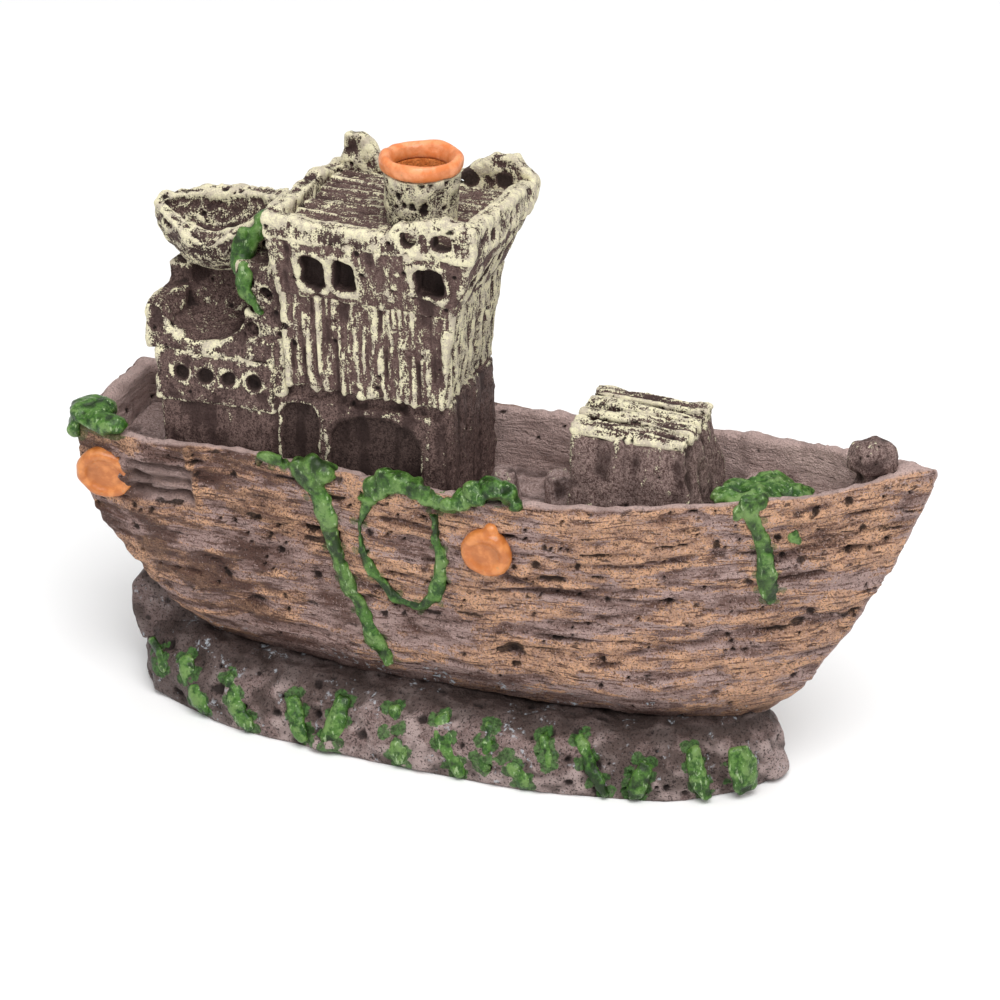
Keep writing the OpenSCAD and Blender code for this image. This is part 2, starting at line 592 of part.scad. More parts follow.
// Each streak runs down the plinth: [x at its top, its top, x at its foot, its foot, width].
module plinth_streak(s, side) {
    weed_strip([[s[0], s[1], s[4]*0.6], [mix(s[0], s[2], 0.35), mix(s[1], s[3], 0.35), s[4]*0.95],
        [mix(s[0], s[2], 0.75), mix(s[1], s[3], 0.75), s[4]], [s[2], s[3], s[4]*0.6]],
        0.5, side, on_plinth);
}

module weed_base() {
    for (s = [[-47.8, 7.4, -44.8, 4.4, 1.8], [-41.7, 7.2, -37.6, 0.8, 2.8], [-34.5, 6.8, -30, 0.7, 2.3],
        [-24.4, 6.6, -21.8, 1.2, 2], [-17.2, 7.5, -18.4, 0.7, 2.5], [-10.2, 7.6, -8, 0.7, 2.5],
        [-3.6, 7.4, 0, 0.7, 2.4], [3.6, 7.5, 3, 2.4, 1.9], [6.2, 4.6, 9.4, 0.7, 2],
        [10.6, 7.5, 12.2, 4.2, 1.4], [15.3, 7.6, 19.6, 0.8, 1.9], [24.2, 5.6, 23.2, 0.7, 2.8],
        [29.6, 7.5, 32, 0.8, 1.9], [35.2, 7.2, 36.4, 0.8, 3]]) plinth_streak(s, -1);
    for (s = [[-41, 7.2, -38, 0.7, 3], [-27, 7.2, -28, 0.7, 3.4], [6, 7.2, 8, 0.7, 3],
        [19, 7.2, 17.6, 0.7, 2.6], [30, 7.2, 31.4, 0.7, 2.4]]) plinth_streak(s, 1);
}

seabed_base();
ship_hull();
main_deck();
foredeck();
after_deck();
rudder_post();
arcade_cabin();
porthole_cabin();
niche_cabin();
aft_boat();
tower();
bridge_house();
bridge_floor();
bridge_parapet();
funnel();
funnel_rim();
cargo_hatch();
hatch_boards();
bow_knob();
deck_posts();
ring_starboard_aft();
ring_starboard_mid();
ring_port_aft();
ring_port_mid();
weed_stern();
weed_long_strand();
weed_loop();
weed_midships();
weed_bow_mat();
weed_bow_strand();
weed_tower();
weed_port_side();
weed_base();
air_elbow();
riser_tube();
air_stone();
stone_nipple();
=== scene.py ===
import itertools
import math

import bmesh
import bpy
import numpy as np
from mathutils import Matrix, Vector
from mathutils.bvhtree import BVHTree
from mathutils.kdtree import KDTree


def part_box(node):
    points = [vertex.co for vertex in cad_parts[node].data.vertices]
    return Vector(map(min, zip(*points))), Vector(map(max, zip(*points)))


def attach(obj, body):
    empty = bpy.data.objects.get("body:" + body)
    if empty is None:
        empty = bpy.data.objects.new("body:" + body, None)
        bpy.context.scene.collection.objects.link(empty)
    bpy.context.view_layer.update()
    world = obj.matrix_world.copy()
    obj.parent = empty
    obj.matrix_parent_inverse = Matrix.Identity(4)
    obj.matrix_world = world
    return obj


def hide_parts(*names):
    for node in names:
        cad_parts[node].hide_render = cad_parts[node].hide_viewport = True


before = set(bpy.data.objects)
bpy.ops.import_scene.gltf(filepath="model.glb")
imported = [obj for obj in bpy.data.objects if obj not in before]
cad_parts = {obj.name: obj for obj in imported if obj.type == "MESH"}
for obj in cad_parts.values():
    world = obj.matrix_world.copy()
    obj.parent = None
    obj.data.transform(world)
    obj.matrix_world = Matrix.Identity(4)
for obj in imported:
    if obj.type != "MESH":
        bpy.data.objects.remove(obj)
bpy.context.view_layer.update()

perMetre = 1000  # shapes and noise are worked in millimetres
toMetres = 0.001


def cellLuck(cell, seed):
    # a repeatable random number from -1 to 1 for each whole-numbered cell
    h = cell @ np.array([374761393, 668265263, 1440662683]) + seed * 1013904223
    h = (h ^ (h >> 13)) & 0x7FFFFFFF
    h = (h * 1274126177) & 0x7FFFFFFFFFFF
    h = h ^ (h >> 16)
    return (h & 0xFFFFF) / 524287.5 - 1.0


def softNoise(at, size, seed=0):
    q = at / np.asarray(size, float)
    base = np.floor(q).astype(np.int64)
    f = q - base
    f = f * f * (3 - 2 * f)
    total = np.zeros(len(at))
    for corner in itertools.product((0, 1), repeat=3):
        weight = np.prod(np.where(corner, f, 1 - f), axis=1)
        total += weight * cellLuck(base + corner, seed)
    return total


def roughNoise(at, size, octaves, seed=0):
    size = np.asarray(size, float)
    return sum(0.5**i * softNoise(at, size / 2**i, seed + 17 * i) for i in range(octaves))


def ramp(value, low, high):
    t = np.clip((value - low) / (high - low), 0, 1)
    return t * t * (3 - 2 * t)


def slowWobble(at):
    # the hand-carved unevenness that runs through the whole casting
    far = np.stack([softNoise(at, 15, 3 + i) for i in range(3)], axis=1)
    near = np.stack([softNoise(at, 5.5, 23 + i) for i in range(3)], axis=1)
    return 0.38 * far + 0.2 * near


class Clay:
    # a fine mesh of one or more nodes, sculpted with arrays
    def __init__(self, name, nodes, voxel, extras=()):
        bm = bmesh.new()
        for node in nodes:
            bm.from_mesh(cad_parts[node].data)
        bmesh.ops.remove_doubles(bm, verts=bm.verts, dist=1e-6)
        bmesh.ops.scale(bm, vec=(perMetre, perMetre, perMetre), verts=bm.verts)
        for add in extras:
            add(bm)
        rough = bpy.data.meshes.new(name)
        bm.to_mesh(rough)
        bm.free()
        self.piece = bpy.data.objects.new(name, rough)
        bpy.context.scene.collection.objects.link(self.piece)
        even = self.piece.modifiers.new("even", "REMESH")
        even.mode = "VOXEL"
        even.voxel_size = voxel
        depsgraph = bpy.context.evaluated_depsgraph_get()
        fine = bpy.data.meshes.new_from_object(self.piece.evaluated_get(depsgraph))
        self.piece.modifiers.clear()
        self.piece.data = fine
        fine.name = name
        self.nodes = nodes
        self.at = np.empty(len(fine.vertices) * 3)
        fine.vertices.foreach_get("co", self.at)
        self.at = self.at.reshape(-1, 3)
        self.edges = np.empty(len(fine.edges) * 2, np.int32)
        fine.edges.foreach_get("vertices", self.edges)
        self.edges = self.edges.reshape(-1, 2)
        self.quads = np.empty(len(fine.loops), np.int32)
        fine.loops.foreach_get("vertex_index", self.quads)
        self.quads = self.quads.reshape(-1, 4)
        self.links = np.bincount(self.edges.ravel(), minlength=len(self.at))[:, None]
        self.rest = self.at.copy()
        self.marks = {}

    def facing(self):
        a, b, c, d = (self.at[self.quads[:, i]] for i in range(4))
        flat = np.cross(c - a, d - b)
        out = np.empty_like(self.at)
        for axis in range(3):
            out[:, axis] = sum(np.bincount(self.quads[:, i], flat[:, axis], len(self.at)) for i in range(4))
        return out / np.maximum(np.linalg.norm(out, axis=1, keepdims=True), 1e-12)

    def around(self, values):
        # the mean of each point's neighbours
        a, b = self.edges[:, 0], self.edges[:, 1]
        out = np.empty_like(values)
        for axis in range(values.shape[1]):
            column = values[:, axis]
            out[:, axis] = np.bincount(a, column[b], len(out)) + np.bincount(b, column[a], len(out))
        return out / self.links

    def relax(self, steps, pull=0.6):
        # pull is one number, or a column with one for each point
        for _ in range(steps):
            self.at += pull * (self.around(self.at) - self.at)

    def push(self, depth):
        self.at += self.facing() * np.asarray(depth)[:, None]

    def proud(self, reach):
        # how far each point stands out of its surroundings within reach, in millimetres
        step = np.linalg.norm(self.at[self.edges[:, 0]] - self.at[self.edges[:, 1]], axis=1).mean()
        soft = self.at.copy()
        for _ in range(max(2, int((reach / step) ** 2 / 0.35))):
            soft += 0.7 * (self.around(soft) - soft)
        return np.einsum("ij,ij->i", self.at - soft, self.facing())

    def wearMarks(self, edge=0.45, hollowShade=1.0):
        # rubbed edges from -1.2 to 1.2, and painted shade in the hollows from 0 to 1
        self.mark("wear", np.clip(self.proud(edge) / 0.2, -1.2, 1.2))
        self.mark("hollowShade", ramp(-self.proud(hollowShade), 0.13, 0.5))

    def dents(self, count, small, large, seed, chance=None):
        # round casting pits, 1 at the middle of each and 0 outside
        luck = np.random.default_rng(seed)
        tree = KDTree(len(self.at))
        for i, p in enumerate(self.at):
            tree.insert(p, i)
        tree.balance()
        weight = None if chance is None else chance / chance.sum()
        depth = np.zeros(len(self.at))
        ragged = 1 + 0.45 * softNoise(self.at, 0.8, seed) + 0.25 * softNoise(self.at, 0.4, seed + 1)
        for middle in luck.choice(len(self.at), count, p=weight):
            radius = small + (large - small) * luck.random() ** 2
            for _, i, away in tree.find_range(self.at[middle], radius * 1.3):
                depth[i] = max(depth[i], 1 - (away * ragged[i] / radius) ** 2)
        return depth

    def mark(self, name, values):
        self.marks[name] = np.asarray(values)

    def finish(self, finish, slot, body="ornament"):
        mesh = self.piece.data
        mesh.vertices.foreach_set("co", (self.at * toMetres).ravel())
        for name, values in self.marks.items():
            layer = mesh.attributes.new(name, "FLOAT", "POINT")
            layer.data.foreach_set("value", np.ascontiguousarray(values, np.float32))
        mesh.shade_smooth()
        mesh.materials.clear()
        mesh.materials.append(finish)
        mesh.update()
        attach(self.piece, body)
        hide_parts(*self.nodes)
        print("  ", self.piece.name, len(self.at), "points")


class Wire:
    # one socket of a material, so that shader maths reads as arithmetic
    def __init__(self, tree, socket=None):
        self.tree = tree
        self.socket = socket

    def node(self, kind, settings=None, sockets=None, output=0):
        made = self.tree.nodes.new("ShaderNode" + kind)
        for key, value in (settings or {}).items():
            setattr(made, key, value)
        for key, value in (sockets or {}).items():
            if isinstance(value, Wire):
                self.tree.links.new(value.socket, made.inputs[key])
            else:
                made.inputs[key].default_value = value
        return Wire(self.tree, made.outputs[output])

    def maths(self, operation, first, second):
        return self.node("Math", {"operation": operation}, {0: first, 1: second})

    def __add__(self, other):
        return self.maths("ADD", self, other)

    def __radd__(self, other):
        return self.maths("ADD", other, self)

    def __sub__(self, other):
        return self.maths("SUBTRACT", self, other)

    def __rsub__(self, other):
        return self.maths("SUBTRACT", other, self)

    def __mul__(self, other):
        return self.maths("MULTIPLY", self, other)

    def __rmul__(self, other):
        return self.maths("MULTIPLY", other, self)

    def over(self, low, high):
        # 0 below low, 1 above high, smooth between
        return self.node("MapRange", {"interpolation_type": "SMOOTHSTEP"},
                         {"Value": self, "From Min": low, "From Max": high})

    def mark(self, name):
        return self.node("Attribute", {"attribute_name": name}, output=2)

    def grain(self, size, detail=4.0, stretch=(1, 1, 1), rough=0.55, shift=0.0):
        # noise from 0 to 1 with features of about size millimetres
        at = self.node("TexCoord", output=3)
        at = self.node("Mapping", sockets={"Vector": at, "Location": (shift, shift * 0.7, 0),
                                           "Scale": [perMetre / size / s for s in stretch]})
        return self.node("TexNoise", {"normalize": True}, {"Vector": at, "Scale": 1.0, "Detail": detail,
                                                           "Roughness": rough})

    def along(self, size, stretch, detail):
        # noise drawn out along the run of the planks
        at = self.node("TexCoord", output=3)
        x = self.node("SeparateXYZ", sockets={0: at}, output=0) * (perMetre / size / stretch)
        y = self.node("SeparateXYZ", sockets={0: at}, output=1) * (perMetre / size / stretch)
        at = self.node("CombineXYZ", sockets={0: x, 1: y, 2: self.mark("flow") * (1 / size)})
        return self.node("TexNoise", {"normalize": True}, {"Vector": at, "Scale": 1.0, "Detail": detail})

    def specks(self, size, amount):
        # scattered round spots, 1 inside
        at = self.node("TexCoord", output=3)
        at = self.node("Mapping", sockets={"Vector": at, "Scale": [perMetre / size] * 3})
        away = self.node("TexVoronoi", {"feature": "F1"}, {"Vector": at, "Scale": 1.0})
        return 1 - away.over(amount * 0.6, amount)

    def paint(self, mask, below, above):
        return self.node("Mix", {"data_type": "RGBA"}, {0: mask, 6: below, 7: above}, output=2)


def tint(r, g, b):
    return (r, g, b, 1.0)


def newFinish(name, build):
    finish = bpy.data.materials.new(name)
    finish.use_nodes = True
    tree = finish.node_tree
    shader = tree.nodes["Principled BSDF"]
    looks = build(Wire(tree))
    for key, value in looks.items():
        if key == "bump":
            height, strength, reach = value
            made = Wire(tree).node("Bump", sockets={"Strength": strength, "Distance": reach,
                                                    "Height": height})
            tree.links.new(made.socket, shader.inputs["Normal"])
        elif isinstance(value, Wire):
            tree.links.new(value.socket, shader.inputs[key])
        else:
            shader.inputs[key].default_value = value
    return finish


resin = {
    "cream": tint(0.86, 0.80, 0.55),
    "creamDull": tint(0.57, 0.50, 0.39),
    "mauve": tint(0.205, 0.134, 0.118),
    "mauveLight": tint(0.33, 0.235, 0.21),
    "deckLight": tint(0.50, 0.375, 0.35),
    "umber": tint(0.072, 0.040, 0.036),
    "deepUmber": tint(0.038, 0.021, 0.019),
    # near-black painted into hollows and window openings as painted shade
    "hollowShade": tint(0.022, 0.014, 0.012),
    "soot": tint(0.016, 0.010, 0.009),
    "chalk": tint(0.60, 0.66, 0.72),
    "weedFilm": tint(0.05, 0.13, 0.03),
}

hullTones = {
    "dark": tint(0.13, 0.064, 0.048),
    "mid": tint(0.36, 0.228, 0.203),
    "light": tint(0.70, 0.515, 0.475),
    "tan": tint(0.85, 0.485, 0.285),
    "tanDull": tint(0.58, 0.335, 0.22),
    "shade": tint(0.06, 0.031, 0.025),
}


def saltMask(root, shift):
    # chalky deposits in broken little patches
    spots = root.grain(0.8, 4, rough=0.7, shift=shift).over(0.55, 0.63)
    return spots * root.grain(3.6, 3, shift=shift + 5).over(0.54, 0.62)


def hullPaint(root):
    relief, gouge, outside = root.mark("relief"), root.mark("gouge"), root.mark("outside")
    fine, dust = root.grain(0.42, 4, rough=0.7), root.grain(0.2, 2)
    streak, thread = root.along(0.7, 6, 4), root.along(0.34, 11, 4)
    patch = root.grain(7, 4, (2, 2, 0.62), shift=3)
    tone = hullTones
    colour = root.paint((fine * 0.55 + dust * 0.45).over(0.38, 0.62), tone["mid"], tone["light"])
    # the dark cloud grows towards the stern as painted shade
    cloud = root.grain(3.4, 4, (1.8, 1.8, 0.7), shift=9) + root.mark("aft") * 0.07
    colour = root.paint(cloud.over(0.5, 0.64) * 0.75, colour, tone["dark"])
    speck = root.grain(0.3, 1, shift=11)
    # tan spreads further towards the bow and the top: real tan paint, with its gradient as painted light
    rub = relief * 0.45 + streak * 1.5 + fine * 1.1 + patch * 3.2 + speck * 0.9 + root.mark("tanAndLightShare")
    tan = root.paint(root.grain(1.6, 3, shift=4).over(0.36, 0.64), tone["tanDull"], tone["tan"])
    colour = root.paint(rub.over(3.32, 3.45) * outside * 0.92, colour, tan)
    colour = root.paint((root.mark("tanMark") + fine - 0.5).over(0.15, 0.4), colour, tone["tan"])
    colour = root.paint((1 - outside) * (fine + dust).over(0.85, 1.1) * 0.85, colour, tone["light"])
    # painted shade: dark blotches towards the stern
    colour = root.paint(root.mark("aft") * cloud.over(0.5, 0.64) * 0.9, colour, tone["shade"])
    # painted shade: low parts of the relief, along cracks and grooves, darkened
    colour = root.paint((1 - relief.over(-0.75, 0.05)) * 0.75, colour, tone["dark"])
    dash = root.along(0.5, 4.5, 2).over(0.6, 0.67) * root.grain(2.6, 3, shift=14).over(0.42, 0.56)
    colour = root.paint(thread.over(0.56, 0.63) * outside * 0.8, colour, tone["dark"])
    colour = root.paint(dash * outside * 0.85, colour, tone["shade"])
    # more dark specks towards the stern, as painted shade
    sand = dust * 0.5 + fine * 0.5 + root.mark("aft") * 0.05
    colour = root.paint(sand.over(0.545, 0.6) * 0.8, colour, tone["dark"])
    colour = root.paint(speck.over(0.565, 0.64) * (0.64 - 0.3 * relief), colour, tone["shade"])
    colour = root.paint((1 - sand.over(0.4, 0.45)) * 0.6, colour, tone["light"])
    colour = root.paint((1 - outside) * 0.5, colour, tone["light"])
    # painted shade in the hollows
    colour = root.paint(root.mark("hollowShade") * 0.8, colour, tone["shade"])
    colour = root.paint(root.mark("shade") * 0.8, colour, tone["shade"])
    colour = root.paint((gouge + fine * 1.2 - 0.6).over(0.35, 0.8) * 0.85, colour, resin["soot"])
    colour = root.paint(saltMask(root, 2) * root.mark("lip") * 0.9, colour, resin["chalk"])
    film = (root.mark("nearWeed") + root.grain(0.8, 3, shift=7) - 0.5).over(0.6, 0.85)
    colour = root.paint(film * 0.5, colour, resin["weedFilm"])
    return {"Base Color": colour, "Roughness": 0.66 - 0.16 * fine, "Specular IOR Level": 0.2,
            "bump": (fine * 1.2 + streak * 0.7 + thread * 0.7 + dust * 0.8 - dash, 1.0, 0.0005)}


def castPaint(look):
    # dark resin with cream dragged over whatever stands out
    def build(root):
        relief, gouge, hollowShade = root.mark("relief"), root.mark("gouge"), root.mark("hollowShade")
        fine, dust = root.grain(0.4, 4, look["stretch"], 0.7), root.grain(0.2, 2)
        patch = root.grain(2.4, 4, shift=4)
        sand = fine * 0.5 + dust * 0.5
        colour = root.paint(sand.over(0.38, 0.62), resin[look["ground"]], resin[look["high"]])
        # painted shade: the low parts of the relief are darkened towards deep umber
        colour = root.paint((1 - relief.over(-0.8, 0.0)) * 0.8, colour, resin["deepUmber"])
        rub = root.mark("wear") * look["edge"] + relief * look["ridge"]
        rub = rub + fine * 1.7 + dust * 1.4 + patch * 0.6
        mask = (rub + root.mark("creamy") - hollowShade * 1.4).over(look["cream"], look["cream"] + 0.16)
        thick = root.grain(1.2, 3, shift=8) * 0.6 + dust * 0.4
        cream = root.paint(thick.over(0.4, 0.6), resin["creamDull"], resin["cream"])
        # painted shade: hollows and window openings painted near-black
        colour = root.paint(hollowShade * 0.85, colour, resin["hollowShade"])
        colour = root.paint(mask * 0.95, colour, cream)
        colour = root.paint((gouge + fine * 1.2 - 0.6).over(0.35, 0.8) * 0.9, colour, resin["soot"])
        colour = root.paint(sand.over(0.6, 0.68) * (1 - mask) * 0.7, colour, resin["soot"])
        return {"Base Color": colour, "Roughness": 0.72 - 0.12 * fine, "Specular IOR Level": 0.18,
                "bump": (fine + mask * 0.5 + dust * 0.6, 0.9, 0.0003)}
    return build


def rockPaint(root):
    relief, gouge = root.mark("relief"), root.mark("gouge")
    fine, dust = root.grain(0.6, 5, rough=0.7), root.grain(0.2, 2)
    sand = fine * 0.6 + dust * 0.4
    colour = root.paint(sand.over(0.38, 0.62), tint(0.14, 0.09, 0.082), tint(0.33, 0.24, 0.225))
    # lighter dry-brushed patches, with painted light added along the bottom of the foot
    dryAndLowLight = root.grain(4, 3, shift=2) + root.mark("low") * 0.12
    colour = root.paint(dryAndLowLight.over(0.5, 0.62) * 0.75, colour, tint(0.47, 0.365, 0.345))
    # painted shade: low parts of the relief and the hollows darkened
    colour = root.paint((1 - relief.over(-0.6, 0.25)) * 0.8, colour, tint(0.06, 0.04, 0.034))
    colour = root.paint(root.mark("hollowShade") * 0.75, colour, tint(0.035, 0.023, 0.02))
    colour = root.paint(root.mark("shade") * 0.85, colour, tint(0.035, 0.023, 0.02))
    colour = root.paint(sand.over(0.56, 0.63) * 0.8, colour, tint(0.05, 0.034, 0.03))
    colour = root.paint(root.grain(0.32, 1, shift=12).over(0.57, 0.65) * 0.75, colour, resin["soot"])
    colour = root.paint((gouge + fine * 1.2 - 0.6).over(0.3, 0.8) * 0.85, colour, resin["soot"])
    colour = root.paint(saltMask(root, 4) * 0.55, colour, resin["chalk"])
    film = (root.mark("nearWeed") + root.grain(1.0, 4, shift=7) * 1.6 - 0.8).over(0.6, 0.82)
    moss = root.paint(fine.over(0.4, 0.6), tint(0.02, 0.06, 0.012), tint(0.07, 0.18, 0.04))
    colour = root.paint(film * 0.85, colour, moss)
    return {"Base Color": colour, "Roughness": 0.62 - 0.2 * fine, "Specular IOR Level": 0.22,
            "bump": (fine + dust * 0.5, 0.9, 0.0004)}


def weedPaint(root):
    relief = root.mark("relief")
    fine, patch = root.grain(0.45, 4, rough=0.65), root.grain(2.2, 3, shift=2)
    thick = patch * 0.6 + fine * 0.4
    colour = root.paint(thick.over(0.42, 0.58), tint(0.017, 0.066, 0.007), tint(0.066, 0.168, 0.024))
    colour = root.paint(root.mark("flat") * 0.55, colour, tint(0.105, 0.185, 0.04))
    # painted highlights and glints on the raised parts of the weed
    colour = root.paint((relief * 0.5 + fine).over(0.5, 0.9) * 0.6, colour, tint(0.20, 0.32, 0.10))
    glint = root.grain(0.5, 3, (1, 1, 2.5), shift=6).over(0.6, 0.68)
    colour = root.paint(glint * 0.6, colour, tint(0.42, 0.55, 0.30))
    # painted shade: the low parts of the weed darkened
    colour = root.paint((1 - (relief + fine).over(-0.2, 0.55)) * 0.88, colour, tint(0.007, 0.020, 0.003))
    return {"Base Color": colour, "Roughness": 0.22 + 0.2 * patch, "Specular IOR Level": 0.28,
            "Coat Weight": 0.12, "Coat Roughness": 0.08, "bump": (fine, 0.6, 0.0003)}


def enamelOrange(deep, bright):
    def build(root):
        relief, thin = root.mark("relief"), root.grain(1.5, 4, shift=3)
        colour = root.paint(thin.over(0.38, 0.64), deep, bright)
        # painted shade: the low parts of the relief, such as the inside of the rim, darkened
        colour = root.paint((1 - relief.over(-0.9, 0.0)) * 0.55, colour, tint(0.36, 0.105, 0.02))
        stain = root.grain(0.7, 3, shift=5).over(0.62, 0.72)
        colour = root.paint(stain * 0.45, colour, tint(0.40, 0.24, 0.10))
        return {"Base Color": colour, "Roughness": 0.34 + 0.14 * thin, "Specular IOR Level": 0.5,
                "Coat Weight": 0.2, "Coat Roughness": 0.2, "bump": (root.grain(0.8, 3), 0.45, 0.00025)}
    return build


towerLook = dict(ground="umber", high="mauve", edge=0.4, ridge=0.3, cream=1.96, stretch=(1, 1, 3.4))


def funnelPaint(root):
    looks = castPaint(dict(towerLook, cream=1.97, stretch=(1, 1, 1)))(root)
    thin = root.grain(1.5, 3).over(0.35, 0.65)
    orange = root.paint(thin, tint(0.62, 0.17, 0.035), tint(0.80, 0.27, 0.075))
    looks["Base Color"] = root.paint(root.mark("mouth"), looks["Base Color"], orange)
    return looks


def inletPlastic(root):
    scuff = root.grain(0.9, 4, (1, 1, 3))
    colour = root.paint(scuff.over(0.45, 0.75), tint(0.022, 0.022, 0.024), tint(0.05, 0.05, 0.054))
    return {"Base Color": colour, "Roughness": 0.4 + 0.2 * scuff, "bump": (scuff, 0.3, 0.0001)}


def tubePlastic(root):
    haze = root.grain(2.0, 3)
    colour = root.paint(haze, tint(0.62, 0.68, 0.70), tint(0.74, 0.79, 0.80))
    return {"Base Color": colour, "Roughness": 0.22 + 0.15 * haze, "bump": (haze, 0.2, 0.0001)}


def stoneGrit(root):
    grit = root.grain(0.32, 4, rough=0.8)
    colour = root.paint(grit.over(0.3, 0.7), tint(0.16, 0.19, 0.23), tint(0.42, 0.46, 0.50))
    pore = root.specks(0.45, 0.42)
    return {"Base Color": root.paint(pore * 0.7, colour, tint(0.04, 0.05, 0.06)), "Roughness": 0.9,
            "bump": (grit - pore * 0.6, 0.9, 0.0002)}


finishes = {
    "hull": newFinish("hullPaint", hullPaint),
    "deck": newFinish("deckPaint", castPaint(dict(ground="mauve", high="deckLight", edge=0.5, ridge=0.2,
                                                  cream=2.6, stretch=(1, 1, 1.6)))),
    "hatch": newFinish("hatchPaint", castPaint(dict(ground="umber", high="mauveLight", edge=0.5, ridge=0.2,
                                                    cream=2.45, stretch=(1, 1, 1.6)))),
    "cabin": newFinish("cabinPaint", castPaint(dict(ground="deepUmber", high="mauve", edge=0.6, ridge=0.15,
                                                    cream=2.2, stretch=(1, 1, 1.6)))),
    "tower": newFinish("towerPaint", castPaint(towerLook)),
    "rock": newFinish("rockPaint", rockPaint),
    "weed": newFinish("weedPaint", weedPaint),
    "orange": newFinish("orangePaint", enamelOrange(tint(0.50, 0.15, 0.03), tint(0.68, 0.25, 0.07))),
    "rim": newFinish("rimPaint", enamelOrange(tint(0.72, 0.21, 0.06), tint(0.86, 0.33, 0.14))),
    "funnel": newFinish("funnelPaint", funnelPaint),
    "inlet": newFinish("inletPlastic", inletPlastic),
    "tube": newFinish("tubePlastic", tubePlastic),
    "grit": newFinish("stoneGrit", stoneGrit),
}
print("finishes made")

ship = {"railZ": 40.6, "sheerRise": 8.0, "sheerFromX": -2, "stemX": 58.5, "footZ": 9}


def sheerLift(x):
    # how far the rail climbs towards the stem
    run = ship["stemX"] - ship["sheerFromX"]
    return ship["sheerRise"] * (np.maximum(0, x - ship["sheerFromX"]) / run) ** 1.8


def nearTo(at, points, reach):
    # 1 on the points, falling to 0 at reach millimetres away
    tree = KDTree(len(points))
    for i, p in enumerate(points):
        tree.insert(p, i)
    tree.balance()
    away = np.array([tree.find(p)[2] for p in at])
    return 1 - ramp(away, reach * 0.35, reach)


def alongLine(at, start, end):
    # distance of each point from a segment in the side view
    a, b = np.asarray(start, float), np.asarray(end, float)
    side = at[:, [0, 2]]
    t = np.clip(((side - a) @ (b - a)) / ((b - a) @ (b - a)), 0, 1)
    return np.linalg.norm(side - a - t[:, None] * (b - a), axis=1)


weedNodes = [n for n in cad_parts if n.startswith("weed_")]
weedPoints = []
for weedNode in weedNodes:
    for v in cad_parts[weedNode].data.vertices:
        weedPoints.append(v.co * perMetre)

hullLook = {
    "voxel": 0.415, "middleX": -7, "wornEnds": 0.4,
    "grainDepth": 0.34, "crackDepth": 0.5, "gougeDepth": 0.4, "lumpDepth": 0.2,
    "pits": 420, "pitSmall": 0.18, "pitLarge": 0.85, "pitDepth": 0.6,
    "neckTopZ": 15, "neckSides": 1.9, "neckEnds": 1.4,
    # in the side view, as x and z: a sunk panel, and two raised strokes
    "recess": ((-47.6, 31.4), (-38.2, 37.2)), "recessDepth": 0.9, "boardDepth": 0.35,
    "bar": ((-38.6, 40.0), (-37.4, 32.2)), "barSize": 0.75,
    "tail": ((6.4, 30.8), (10.4, 29.1)), "tailSize": 0.5,
}


